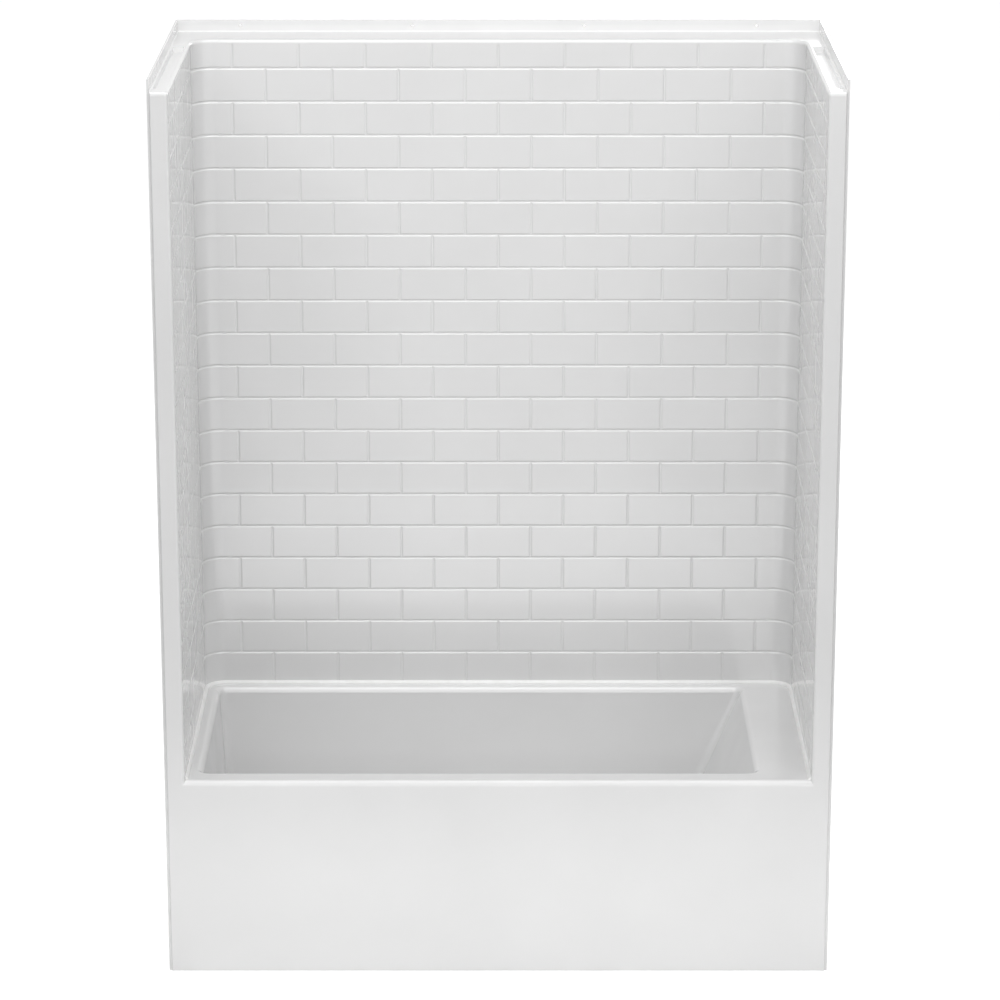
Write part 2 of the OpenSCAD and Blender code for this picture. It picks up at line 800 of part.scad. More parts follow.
module back_wall_battens() {
    color("burlywood") unit_frame() for (s = [-1, 0, 1])
        translate([s * wall_batten_x - batten_face_w / 2, alcove_d + skin, deck_h + skin + batten_w])
            cube([batten_face_w, ply_t, wall_h - 2 * skin - 2 * batten_w]);
}

module end_board() {
    unit_frame() end_place() translate([skin, (straight_d - end_board_w) / 2, end_board_in])
        cube([ply_t, end_board_w, wall_h - 2 * end_board_in]);
}

module left_wall_board() {
    color("burlywood") at_end(-1) end_board();
}

module right_wall_board() {
    color("burlywood") at_end(1) end_board();
}

module jamb_batten() {
    unit_frame() end_place() translate([jamb_r, skin, 3 * skin])
        cube([jamb_batten_w, jamb_batten_d, wall_h - pocket_depth - 7 * skin]);
}

module left_jamb_batten() {
    color("tan") at_end(-1) jamb_batten();
}

module right_jamb_batten() {
    color("tan") at_end(1) jamb_batten();
}

module back_ledge_board() {
    color("burlywood") unit_frame()
        translate([-alcove_w / 2 + 2 * seam_x, alcove_d + skin + ply_t, ledge_h - skin - ply_t])
            cube([alcove_w - 4 * seam_x, ledge_ply_w, ply_t]);
}

// Waste: the drain flange screws down into the shoe and clamps the tub's floor

module at_drain() {
    unit_frame() translate([-drain_x, drain_y, 0]) children();
}

module drain_flange() {
    color("lightgray") at_drain() {
        difference() {
            union() {
                translate([0, 0, well_floor]) cylinder(r = flange_r, h = flange_t);
                translate([0, 0, well_floor - tail_len + flange_t]) cylinder(r = tail_r, h = tail_len);
            }
            translate([0, 0, well_floor - tail_len]) cylinder(r = tail_bore_r, h = 2 * tail_len);
            translate([0, 0, well_floor + flange_dish])
                cylinder(r1 = tail_bore_r, r2 = flange_r - flange_rim, h = flange_t);
        }
        for (a = [0, 90]) translate([0, 0, well_floor - bar_w]) rotate(a)
            translate([-tail_bore_r - cut, -bar_w / 2, 0]) cube([2 * (tail_bore_r + cut), bar_w, bar_w]);
    }
}

module drain_gasket() {
    color("dimgray") at_drain() translate([0, 0, shoe_top]) difference() {
        cylinder(r = flange_r, h = gasket_t);
        translate([0, 0, -cut]) cylinder(r = tail_r + tail_gap, h = gasket_t + 2 * cut);
    }
}

// A socket along its own +Z: the wall, with a bore that takes a tube
module socket(len) {
    cylinder(r = socket_r, h = len);
}

module socket_bore(len) {
    cylinder(r = tube_r + tube_gap, h = len);
}

module drain_shoe() {
    color("darkgray") at_drain() difference() {
        union() {
            translate([0, 0, waste_z - socket_r]) cylinder(r = shoe_r, h = shoe_top - waste_z + socket_r);
            translate([0, 0, shoe_top - shoe_plate_t]) cylinder(r = flange_r, h = shoe_plate_t);
            translate([0, 0, waste_z]) rotate([0, -90, 0]) socket(shoe_out);
        }
        translate([0, 0, well_floor - tail_len - 2]) cylinder(r = tail_r + shoe_gap, h = tail_len);
        translate([0, 0, waste_z - tube_r + 2]) cylinder(r = tail_bore_r, h = shoe_top);
        translate([-shoe_out - cut, 0, waste_z]) rotate([0, 90, 0]) socket_bore(socket_depth + cut);
        translate([-shoe_out, 0, waste_z]) rotate([0, 90, 0])
            cylinder(r = tube_r - tube_wall, h = shoe_out);
    }
}

module tube(len) {
    difference() {
        cylinder(r = tube_r, h = len);
        translate([0, 0, -cut]) cylinder(r = tube_r - tube_wall, h = len + 2 * cut);
    }
}

module waste_arm() {
    color("silver") unit_frame() translate([arm_left, drain_y, waste_z]) rotate([0, 90, 0])
        tube(arm_right - arm_left);
}

module at_tee() {
    unit_frame() translate([tee_x, drain_y, 0]) children();
}

module waste_tee() {
    color("darkgray") at_tee() difference() {
        union() {
            translate([0, 0, tee_bottom]) socket(tee_top - tee_bottom);
            translate([0, 0, waste_z]) rotate([0, 90, 0]) socket(tee_branch);
        }
        difference() {
            translate([0, 0, tee_bottom - cut]) socket_bore(tee_top - tee_bottom + 2 * cut);
            translate([0, 0, seat_z]) difference() {
                cylinder(r = tube_r + cut, h = seat_t);
                translate([0, 0, -cut]) cylinder(r = seat_r, h = seat_t + 2 * cut);
            }
        }
        translate([0, 0, tee_bottom - cut]) cylinder(r = spigot_r, h = seat_z - tee_bottom + cut);
        translate([0, 0, waste_z]) rotate([0, 90, 0]) socket_bore(tee_branch + cut);
    }
}

// A slip nut along its own +Z, its lip at 0, over a socket whose mouth is at the washer
module slip_nut() {
    difference() {
        cylinder(r = nut_out_r, h = nut_h, $fn = 6);
        translate([0, 0, nut_lip]) cylinder(r = socket_r + nut_gap, h = nut_h);
        translate([0, 0, -cut]) cylinder(r = tube_r + tube_gap, h = nut_h);
    }
}

module slip_washer() {
    difference() {
        cylinder(r = socket_r, h = gasket_t);
        translate([0, 0, -cut]) cylinder(r = tube_r + washer_gap, h = gasket_t + 2 * cut);
    }
}

// The three slip joints: tee branch, tee top and overflow elbow
module slip_places(out) {
    translate([tee_branch + out, 0, waste_z]) rotate([0, -90, 0]) children();
    translate([0, 0, tee_top + out]) rotate([180, 0, 0]) children();
    translate([0, 0, elbow_socket_z - out]) children();
}

module slip_nuts() {
    color("silver") at_tee() slip_places(gasket_t + nut_lip) slip_nut();
}

module slip_washers() {
    color("dimgray") at_tee() slip_places(gasket_t) slip_washer();
}

module tailpiece() {
    color("silver") at_tee() difference() {
        union() {
            translate([0, 0, tail_end]) cylinder(r = outlet_r, h = tee_bottom - tail_end);
            translate([0, 0, tail_end]) cylinder(r = spigot_r, h = seat_z - tail_end);
        }
        translate([0, 0, tail_end - cut]) cylinder(r = outlet_bore_r, h = seat_z);
    }
}

module overflow_tube() {
    color("silver") at_tee() translate([0, 0, tee_top - socket_depth])
        tube(elbow_socket_z + socket_depth - tee_top + socket_depth);
}

// Overflow: the elbow's face is upright, and a wedge gasket meets the sloping wall

module plate_screw_places() {
    for (s = [-1, 1]) translate([0, s * plate_screw_pitch / 2, 0]) children();
}

module at_overflow() {
    unit_frame() translate([0, drain_y, overflow_z]) children();
}

module overflow_elbow() {
    color("darkgray") at_overflow() difference() {
        union() {
            translate([tee_x, 0, elbow_socket_z - overflow_z]) socket(overflow_z - elbow_socket_z);
            translate([tee_x - socket_r, 0, 0]) rotate([0, 90, 0])
                cylinder(r = head_r + head_wall, h = elbow_face_x - tee_x + socket_r);
            translate([elbow_face_x - elbow_face_t, 0, 0]) rotate([0, 90, 0])
                cylinder(r = elbow_face_r, h = elbow_face_t);
        }
        difference() {
            translate([tee_x - socket_r + head_wall, 0, 0]) rotate([0, 90, 0])
                cylinder(r = head_r, h = unit_w);
            plate_screw_places() translate([elbow_face_x - ear_len, 0, 0]) rotate([0, 90, 0])
                cylinder(r = ear_r, h = ear_len);
        }
        plate_screw_places() translate([elbow_face_x - ear_len - cut, 0, 0]) rotate([0, 90, 0])
            cylinder(r = screw_r, h = unit_w);
        translate([tee_x, 0, elbow_socket_z - overflow_z - cut]) socket_bore(socket_depth + cut);
        translate([tee_x, 0, elbow_socket_z - overflow_z]) cylinder(r = tube_r - tube_wall, h = elbow_drop);
    }
}

// The half-space on the room side of the sloping drain end's outer face
module past_wall(grow) {
    translate([wall_in_x - grow / cos(drain_slope), -unit_d, 0]) rotate([0, -drain_slope, 0])
        translate([0, 0, -unit_d]) cube([unit_d, 2 * unit_d, 2 * unit_d]);
}

module overflow_gasket() {
    color("dimgray") at_overflow() difference() {
        translate([elbow_face_x, 0, 0]) rotate([0, 90, 0])
            cylinder(r = elbow_face_r, h = 3 * elbow_face_t);
        translate([elbow_face_x - cut, 0, 0]) rotate([0, 90, 0])
            cylinder(r = overflow_hole_r, h = unit_w);
        past_wall(skin);
    }
}

// The plate's own frame: x out of the sloping wall into the well
module at_plate() {
    at_overflow() translate([wall_in_x, 0, 0]) rotate([0, -drain_slope, 0]) children();
}

module overflow_plate() {
    color("lightgray") difference() {
        at_plate() difference() {
            union() {
                rotate([0, 90, 0]) cylinder(r = plate_r, h = plate_t);
                translate([plate_t, 0, 0]) rotate([0, 90, 0])
                    cylinder(r1 = plate_r - plate_rim, r2 = plate_r - plate_dome, h = plate_t);
            }
            translate([-cut, -slot_w / 2, -slot_h / 2]) cube([4 * plate_t, slot_w, slot_h]);
            translate([-cut, -weep_w / 2, weep_up - plate_r]) cube([4 * plate_t, weep_w, weep_h]);
        }
        at_overflow() plate_screw_places() translate([wall_in_x, 0, 0]) rotate([0, 90, 0]) {
            translate([0, 0, -screw_top]) cylinder(r = screw_r + screw_hole_gap, h = 3 * screw_top);
            translate([0, 0, screw_top - screw_head_t])
                cylinder(r = screw_head_r + nut_gap, h = screw_top);
        }
    }
}

module overflow_screws() {
    color("silver") at_overflow() plate_screw_places()
        translate([wall_in_x + screw_top, 0, 0]) rotate([0, -90, 0]) {
            cylinder(r = screw_r, h = screw_len);
            cylinder(r = screw_head_r, h = screw_head_t);
        }
}

// Trip lever: a bracket behind the plate carries the pin that the lever turns on

module at_pivot() {
    at_overflow() translate([pivot_x, 0, 0]) children();
}

module lever_bracket() {
    color("silver") difference() {
        union() {
            for (s = [-1, 1]) at_pivot()
                translate([-bracket_in, s * (lever_t / 2 + bracket_gap + bracket_t / 2) - bracket_t / 2,
                           -bracket_h / 2])
                    cube([pivot_in + bracket_in + cut, bracket_t, bracket_h]);
            at_plate() translate([-bracket_t, -bracket_foot_w / 2, -bracket_foot_h / 2])
                cube([bracket_t, bracket_foot_w, bracket_foot_h]);
        }
        at_plate() translate([0, -plate_r, -plate_r]) cube([plate_r, 2 * plate_r, 2 * plate_r]);
        at_plate() translate([-cut - bracket_t, -lever_t / 2 - bracket_gap, -slot_h / 2])
            cube([4 * bracket_t, lever_t + 2 * bracket_gap, slot_h]);
        at_pivot() rotate([90, 0, 0]) cylinder(r = pivot_r, h = 2 * bracket_foot_w, center = true);
    }
}

module lever_pin() {
    color("silver") at_pivot() rotate([90, 0, 0])
        cylinder(r = pivot_r, h = lever_t + 2 * bracket_gap + 2 * bracket_t, center = true);
}

// At rest the drain is open: the lever's inner arm stands up by half its travel
module trip_lever() {
    color("lightgray") at_pivot() rotate([0, rest_tilt, 0]) difference() {
        union() {
            rotate([90, 0, 0]) cylinder(r = hub_r, h = lever_t, center = true);
            translate([0, -lever_t / 2, -arm_t / 2]) cube([pivot_in + handle_len, lever_t, arm_t]);
            translate([-arm_end, -lever_t / 2, -eye_t / 2]) cube([arm_end, lever_t, eye_t]);
            translate([pivot_in + handle_len - 2, 0, 0]) rotate([90, 0, 0])
                cylinder(r = grip_r, h = grip_w, center = true);
        }
        rotate([90, 0, 0]) cylinder(r = pivot_r + pivot_gap, h = 2 * grip_w, center = true);
        translate([-eye_arm - eye_slot_l / 2, -lever_t, -eye_slot_w / 2])
            cube([eye_slot_l, 2 * lever_t, eye_slot_w]);
    }
}

// The rod hangs beside the lever, and its hook passes through the lever's eye
module lift_rod() {
    color("goldenrod") at_tee() {
        translate([0, rod_y, plunger_z + plunger_h - rod_in])
            cylinder(r = rod_r, h = rod_top_z - plunger_z - plunger_h + rod_in + 3 * rod_r);
        translate([0, rod_y, rod_top_z]) rotate([90, 0, 0])
            cylinder(r = hook_r, h = rod_y + lever_t / 2 + 2);
    }
}

module plunger() {
    color("goldenrod") at_tee() translate([0, 0, plunger_z]) difference() {
        union() {
            cylinder(r1 = plunger_r - plunger_nose, r2 = plunger_r, h = plunger_nose);
            translate([0, 0, plunger_nose]) cylinder(r = plunger_r, h = plunger_h - plunger_nose);
        }
        difference() {
            translate([0, 0, plunger_base]) cylinder(r = plunger_r - plunger_wall, h = plunger_h);
            translate([-plunger_r, -spider_w / 2, plunger_h - rod_in])
                cube([2 * plunger_r, spider_w, spider_w]);
        }
        translate([0, rod_y, plunger_h - rod_in]) cylinder(r = rod_r, h = 2 * rod_in);
    }
}

tub_section();
back_wall();
left_wall();
right_wall();
deck_sealant();
seam_bolts();
seam_nuts();
seam_washers();
deck_bolts();
deck_nuts();
deck_washers();
apron_stiffener();
apron_rail();
floor_board();
floor_bearers();
back_deck_posts();
left_deck_posts();
backrest_board();
back_wall_battens();
left_wall_board();
right_wall_board();
left_jamb_batten();
right_jamb_batten();
back_ledge_board();
drain_flange();
drain_gasket();
drain_shoe();
waste_arm();
waste_tee();
slip_nuts();
slip_washers();
tailpiece();
overflow_tube();
overflow_elbow();
overflow_gasket();
overflow_plate();
overflow_screws();
lever_bracket();
lever_pin();
trip_lever();
lift_rod();
plunger();
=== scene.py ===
"""A bath and shower unit: tub and apron, three tile-pattern walls, and a trip-lever waste."""

import math

import bpy
import numpy as np
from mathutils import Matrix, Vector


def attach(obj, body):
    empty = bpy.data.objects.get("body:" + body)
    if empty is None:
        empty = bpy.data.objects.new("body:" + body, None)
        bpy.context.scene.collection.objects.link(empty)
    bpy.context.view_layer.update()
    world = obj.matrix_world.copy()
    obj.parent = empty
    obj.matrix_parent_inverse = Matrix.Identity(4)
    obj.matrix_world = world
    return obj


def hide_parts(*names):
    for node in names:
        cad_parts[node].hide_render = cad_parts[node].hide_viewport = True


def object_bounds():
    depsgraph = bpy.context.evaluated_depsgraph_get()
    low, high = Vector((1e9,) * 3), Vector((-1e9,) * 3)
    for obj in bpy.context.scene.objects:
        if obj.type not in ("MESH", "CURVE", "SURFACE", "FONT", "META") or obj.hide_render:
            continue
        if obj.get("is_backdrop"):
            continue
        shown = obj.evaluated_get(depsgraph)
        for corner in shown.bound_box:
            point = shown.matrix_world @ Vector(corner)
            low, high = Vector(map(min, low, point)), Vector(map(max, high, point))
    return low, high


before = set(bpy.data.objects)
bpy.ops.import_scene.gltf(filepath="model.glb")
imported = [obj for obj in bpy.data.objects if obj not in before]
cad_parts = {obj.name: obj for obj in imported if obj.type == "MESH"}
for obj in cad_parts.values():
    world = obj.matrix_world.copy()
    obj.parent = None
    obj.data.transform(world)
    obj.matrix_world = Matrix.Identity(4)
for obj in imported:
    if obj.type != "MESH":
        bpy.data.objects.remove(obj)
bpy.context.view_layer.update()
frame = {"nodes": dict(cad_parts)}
parts = frame["nodes"]

# Timber under the tub: bearers, the board that carries the well, the rail and the
# plywood behind the apron, and the posts under the deck. Sawn softwood and fir
# plywood, left raw, bonded to the back of the moulding.


def finish(name):
    """A new material and its principled shader."""
    made = bpy.data.materials.new(name)
    made.use_nodes = True
    return made, made.node_tree.nodes["Principled BSDF"]


def pattern(made, scale, detail=3.0, stretch=(1, 1, 1), turn=(0, 0, 0), texture="ShaderNodeTexNoise"):
    """A noise or wave on object coordinates, stretched along the axes; returns its value socket."""
    nodes, links = made.node_tree.nodes, made.node_tree.links
    where = nodes.new("ShaderNodeTexCoord")
    mapping = nodes.new("ShaderNodeMapping")
    mapping.inputs["Scale"].default_value = stretch
    mapping.inputs["Rotation"].default_value = turn
    tex = nodes.new(texture)
    tex.inputs["Scale"].default_value = scale
    tex.inputs["Detail"].default_value = detail
    links.new(where.outputs["Object"], mapping.inputs["Vector"])
    links.new(mapping.outputs["Vector"], tex.inputs["Vector"])
    return tex.outputs[1] if texture == "ShaderNodeTexWave" else tex.outputs[0]


def between(made, value, low, high, socket, start=0.3, end=0.7):
    """Spreads a 0 to 1 value between two numbers and feeds a shader socket with it."""
    spread = made.node_tree.nodes.new("ShaderNodeMapRange")
    spread.inputs["From Min"].default_value = start
    spread.inputs["From Max"].default_value = end
    spread.inputs["To Min"].default_value = low
    spread.inputs["To Max"].default_value = high
    made.node_tree.links.new(value, spread.inputs["Value"])
    made.node_tree.links.new(spread.outputs["Result"], socket)


def shades(made, value, stops, socket):
    """Turns a value into a colour along a ramp of (position, colour) stops."""
    ramp = made.node_tree.nodes.new("ShaderNodeValToRGB")
    while len(ramp.color_ramp.elements) < len(stops):
        ramp.color_ramp.elements.new(0.5)
    for element, (position, colour) in zip(ramp.color_ramp.elements, stops):
        element.position = position
        element.color = (*colour, 1)
    made.node_tree.links.new(value, ramp.inputs["Fac"])
    made.node_tree.links.new(ramp.outputs["Color"], socket)


def relief(made, shader, value, strength, distance):
    """A bump of the given height in metres on the shader's normal."""
    bump = made.node_tree.nodes.new("ShaderNodeBump")
    bump.inputs["Strength"].default_value = strength
    bump.inputs["Distance"].default_value = distance
    made.node_tree.links.new(value, bump.inputs["Height"])
    made.node_tree.links.new(bump.outputs["Normal"], shader.inputs["Normal"])


def timber(name, pale, dark, stretch):
    """Sawn timber with its grain along the axis that is stretched least."""
    made, shader = finish(name)
    grain = pattern(made, 18, 6, stretch)
    shades(made, grain, [(0.3, dark), (0.62, pale)], shader.inputs["Base Color"])
    between(made, grain, 0.55, 0.8, shader.inputs["Roughness"])
    relief(made, shader, pattern(made, 60, 4, stretch), 0.4, 0.0004)
    return made


PINE = (0.68, 0.5, 0.3), (0.5, 0.33, 0.17)
FIR = (0.62, 0.45, 0.28), (0.45, 0.3, 0.16)
pine_up = timber("pine_upright", *PINE, (9, 9, 0.5))
pine_across = timber("pine_across", *PINE, (0.5, 9, 9))
pine_back = timber("pine_depth", *PINE, (9, 0.5, 9))
ply_across = timber("plywood_across", *FIR, (0.7, 5, 5))
ply_up = timber("plywood_upright", *FIR, (5, 5, 0.7))


def wear_finish(made, *names):
    """Puts a finish on CAD nodes that keep their own shape."""
    for name in names:
        parts[name].data.materials.clear()
        parts[name].data.materials.append(made)


wear_finish(pine_back, "floor_bearers")
wear_finish(pine_across, "apron_rail")
wear_finish(pine_up, "back_deck_posts", "left_deck_posts")
wear_finish(ply_across, "floor_board", "apron_stiffener")
wear_finish(ply_up, "backrest_board")

# The tub section: one glass-reinforced moulding with a glossy white face, which is the
# apron, the deck and the well. Its upstand and side flanges are hidden in the wall.

MM = 0.001
SKIN = 5.0
UNIT_D = 850.0
DECK = 461.0
ALCOVE_HALF = 709.5
ALCOVE_D = 722.5
LEAN = math.radians(0.2)
END_T = 46.905
DECK_HALF = 756.405
JOGGLE = 6.0
FRONT_FLANGE = 40.0
APRON_R = 13.0
JAMB_R = 8.0
APRON_FOOT = 36.0
UPSTAND = 28.0
EDGE_R = 2.5


def moulded_white(name, waviness):
    """Glossy white moulding: an even white with a faint mottle, and the slight waves of a mould."""
    made, shader = finish(name)
    mottle = pattern(made, 3.2, 3)
    white = [(0.3, (0.71, 0.71, 0.71)), (0.7, (0.74, 0.74, 0.74))]
    shades(made, mottle, white, shader.inputs["Base Color"])
    between(made, pattern(made, 6, 2), 0.18, 0.22, shader.inputs["Roughness"])
    shader.inputs["Specular IOR Level"].default_value = 0.5
    shader.inputs["Coat Weight"].default_value = 0.6
    shader.inputs["Coat Roughness"].default_value = 0.04
    relief(made, shader, pattern(made, 5, 2), waviness, 0.002)
    return made


def raw_laminate():
    """The moulding's unpolished back: white resin over chopped glass strands, rough and uneven."""
    made, shader = finish("raw_laminate")
    strands = pattern(made, 55, 6)
    resin = [(0.35, (0.66, 0.65, 0.61)), (0.65, (0.80, 0.79, 0.76))]
    shades(made, strands, resin, shader.inputs["Base Color"])
    between(made, strands, 0.45, 0.75, shader.inputs["Roughness"])
    relief(made, shader, pattern(made, 160, 8), 0.8, 0.0015)
    return made


white_shell = moulded_white("white_moulding", 0.12), raw_laminate()


def ease(value, start, end):
    """0 below start, 1 above end, and a smooth cubic between them."""
    t = np.clip((value - start) / (end - start), 0, 1)
    return t * t * (3 - 2 * t)


def carried(outlines, round_too=False, rough_points=(), rough_stations=()):
    """A closed outline carried along its stations: (stations, points, 3) becomes vertices and faces.

    Neighbouring outlines are joined by four-sided faces. The two ends are capped, or
    joined to each other where round_too is set. The faces that start from the rough
    points or stations are marked as the unpolished side.
    """
    stations, points = outlines.shape[:2]
    index = np.arange(stations * points).reshape(stations, points)
    here = index if round_too else index[:-1]
    there = np.roll(index, -1, 0) if round_too else index[1:]
    quads = np.stack([here, there, np.roll(there, -1, 1), np.roll(here, -1, 1)], -1).reshape(-1, 4)
    caps = [] if round_too else [index[0][::-1], index[-1]]
    rough = np.zeros((len(here), points), int)
    rough[:, list(rough_points)] = 1
    rough[list(rough_stations)] = 1
    return outlines.reshape(-1, 3), quads, caps, rough.ravel()


def prism(plan, low, high):
    """An upright prism: a closed plan of (x, y) points between two heights."""
    plan = np.array(plan, float)
    heights = np.array([low, high], float)
    outline = np.empty((2, len(plan), 3))
    outline[:, :, :2] = plan
    outline[:, :, 2] = heights[:, None]
    return carried(outline)


def block(low, high):
    """A plain bar between two corners."""
    (x0, y0, z0), (x1, y1, z1) = low, high
    return prism([(x0, y0), (x1, y0), (x1, y1), (x0, y1)], z0, z1)


def pierced(low, high, through, centre, radius):
    """A plain bar between two corners, with one round hole through it along one axis.

    Rays from the hole's centre meet its edge and the bar's four sides; the closed
    loop at each ray is carried once round.
    """
    across = [axis for axis in range(3) if axis != through]
    a, b = np.array(low, float)[across], np.array(high, float)[across]
    centre = np.array(centre, float)
    corners = np.array([a, (b[0], a[1]), b, (a[0], b[1])]) - centre
    to_corners = np.arctan2(corners[:, 1], corners[:, 0])
    turn = np.sort(np.concatenate([to_corners, np.linspace(-3.1, 3.1, 24)]))
    ray = np.column_stack([np.cos(turn), np.sin(turn)])
    ahead = np.where(ray > 0, b - centre, centre - a) / np.maximum(np.abs(ray), 1e-9)
    reach = ahead.min(axis=1)[:, None]
    outline = np.empty((len(turn), 4, 3))
    loop = (reach, low), (radius, low), (radius, high), (reach, high)
    for point, (ring, depth) in enumerate(loop):
        outline[:, point, across] = centre + ray * ring
        outline[:, point, through] = depth[through]
    return carried(outline, round_too=True)


def nailed(low, high, along, through, centres, radius=2.5):
    """A flange as a row of bars, low to high along one axis, with a nail hole at each centre."""
    parts, start, half = [], low[along], 14.0
    low, high = np.array(low, float), np.array(high, float)
    for centre in centres:
        at = centre[0] if along < 3 - along - through else centre[1]
        for begin, end, hole in ((start, at - half, None), (at - half, at + half, centre)):
            first, last = low.copy(), high.copy()
            first[along], last[along] = begin, end
            part = block(first, last)
            if hole is not None:
                part = pierced(first, last, through, hole, radius)
            parts.append(part)
        start = at + half
    first = low.copy()
    first[along] = start
    return [*parts, block(first, high)]


def outward(shell):
    """Turns a closed shell so that its faces point out: its summed corner volumes are positive."""
    points, quads, caps, rough = shell
    a, b, c, d = (points[quads[:, i]] for i in range(4))
    volume = np.einsum("ij,ij->", a, np.cross(b, c)) + np.einsum("ij,ij->", a, np.cross(c, d))
    for cap in caps:
        first = np.broadcast_to(points[cap[0]], (len(cap) - 2, 3))
        volume += np.einsum("ij,ij->", first, np.cross(points[cap[1:-1]], points[cap[2:]]))
    if volume > 0:
        return shell
    return points, quads[:, ::-1], [cap[::-1] for cap in caps], rough


def moulding(name, shells, made, slot, *stands_for, angle=32):
    """Joins closed shells, in millimetres from the apron's face, into one piece on the shell."""
    points, faces, sides, start = [], [], [], 0
    for shell in map(outward, shells):
        points.append(shell[0])
        faces += (shell[1] + start).tolist() + [(cap + start).tolist() for cap in shell[2]]
        sides += [*shell[3], *[0] * len(shell[2])]
        start += len(shell[0])
    placed = (np.vstack(points) - (0, UNIT_D / 2, 0)) * MM
    mesh = bpy.data.meshes.new(name)
    mesh.from_pydata(placed.tolist(), [], faces)
    mesh.shade_smooth()
    mesh.set_sharp_from_angle(angle=math.radians(angle))
    for finished in made:
        mesh.materials.append(finished)
    mesh.polygons.foreach_set("material_index", sides)
    piece = bpy.data.objects.new(name, mesh)
    bpy.context.scene.collection.objects.link(piece)
    even = piece.modifiers.new("even_shading", "WEIGHTED_NORMAL")
    even.keep_sharp = True
    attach(piece, "shell")
    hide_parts(*stands_for)
    return piece


def leaning(shell, side):
    """Puts a shell from an end wall's own frame into place, leaning out from the deck."""
    points, *rest = shell
    x, y, z = points.T
    placed = np.stack([
        side * (ALCOVE_HALF + x * math.cos(LEAN) + z * math.sin(LEAN)),
        y,
        np.maximum(0, DECK + z * math.cos(LEAN) - x * math.sin(LEAN)),
    ], -1)
    return placed, *rest


NAIL_IN = 12.0
NAILING_STEP = [
    (END_T - JOGGLE - SKIN, 0.8), (END_T - JOGGLE, EDGE_R), (END_T - JOGGLE, JOGGLE),
    (END_T, JOGGLE), (END_T, JOGGLE + SKIN), (END_T - JOGGLE - SKIN, JOGGLE + SKIN),
]


def nailing_edge(low, high, heights):
    """The return, step and nailing flange down an outer front edge, with its nail holes."""
    flange = (END_T - SKIN, JOGGLE + SKIN, low), (END_T, JOGGLE + FRONT_FLANGE, high)
    centres = [(JOGGLE + FRONT_FLANGE - NAIL_IN, z) for z in heights]
    return [prism(NAILING_STEP, low, high), *nailed(*flange, 2, 0, centres)]


WELL_DEPTH = 361.0
RIM_R = 16.0
FLOOR_R = 50.0
CORNER_R = 18.0
WELL_X = (-675.0, 589.0)
WELL_Y = (65.0, 687.0)
SLOPES = {"drain": 3.6, "rest": 23.4, "side": 3.5}
DRAIN = (-550.0, 376.0)
DRAIN_HOLE_R = 25.5
CORNER_STEPS = 12


def well_side(slope, grow):
    """One side of the well in section, as distance inwards and height from the deck.

    An arc turns from the deck into the wall, a straight line runs down the slope, and
    a second arc turns into the floor. grow moves the whole line outwards by a wall.
    """
    a = math.radians(slope)
    rim, foot = RIM_R - grow, FLOOR_R + grow
    x0, z0 = -grow / math.cos(a) + grow * math.tan(a), -grow
    lead = rim * math.tan((math.pi / 2 - a) / 2)
    p = np.linspace(0, math.pi / 2 - a, 11)
    top = np.stack([x0 - lead + rim * np.sin(p), z0 - rim + rim * np.cos(p)], -1)
    run = foot * math.tan((math.pi / 2 - a) / 2)
    cx, cz = x0 + WELL_DEPTH * math.tan(a) + run, z0 - WELL_DEPTH + foot
    p = np.linspace(a, math.pi / 2, 13)
    return np.vstack([top, np.stack([cx - foot * np.cos(p), cz - foot * np.sin(p)], -1)])


def well_rings(grow):
    """All the well's rings from the deck down: each is a rounded rectangle of four corner arcs.

    Its straight sides keep their own slopes, and round a corner the height blends
    from one side's line to the next with the squared cosine of the corner's angle.
    """
    left, right, side = (well_side(SLOPES[k], grow) for k in ("drain", "rest", "side"))
    level = np.arange(len(side))
    anchor = np.where(level <= 10, side[10, 0], side[11, 0])
    q = np.maximum(6, CORNER_R + grow + anchor - side[:, 0])
    x = np.stack([WELL_X[0] + left[:, 0] + q, WELL_X[1] - right[:, 0] - q])
    y = np.stack([WELL_Y[0] + side[:, 0] + q, WELL_Y[1] - side[:, 0] - q])
    angle = (np.arange(4)[:, None] + np.linspace(0, 1, CORNER_STEPS + 1)) * math.pi / 2
    at_right = np.array([1, 0, 0, 1])[:, None]
    at_back = np.array([1, 1, 0, 0])[:, None]
    weight = np.cos(angle) ** 2
    rings = np.empty((len(side), 4, CORNER_STEPS + 1, 3))
    for axis, centres, pick, turn in ((0, x, at_right, np.cos), (1, y, at_back, np.sin)):
        chosen = np.where(pick, centres[1][:, None, None], centres[0][:, None, None])
        rings[..., axis] = chosen + q[:, None, None] * turn(angle)
    ends = np.where(at_right, right[:, 1][:, None, None], left[:, 1][:, None, None])
    rings[..., 2] = DECK + ends * weight + side[:, 1][:, None, None] * (1 - weight)
    return rings


def deck_edge(ring, inset, z):
    """The deck's outer rectangle inside its upstands: a corner arc's points spread over two sides."""
    low, high = (inset - DECK_HALF, APRON_R), (DECK_HALF - inset, UNIT_D - inset)
    t = np.linspace(0, 1, CORNER_STEPS + 1)
    first, second = np.clip(2 * t, 0, 1), np.clip(2 * t - 1, 0, 1)
    edge = np.empty_like(ring)
    around = ((high[0], high[1]), (low[0], high[1]), (low[0], low[1]), (high[0], low[1]))
    for corner, (fx, fy) in enumerate(around):
        a, b = ring[corner, 0], ring[corner, -1]
        if corner % 2 == 0:
            edge[corner, :, 0] = fx + (b[0] - fx) * second
            edge[corner, :, 1] = a[1] + (fy - a[1]) * first
        else:
            edge[corner, :, 0] = a[0] + (fx - a[0]) * first
            edge[corner, :, 1] = fy + (b[1] - fy) * second
    edge[..., 2] = z
    return edge


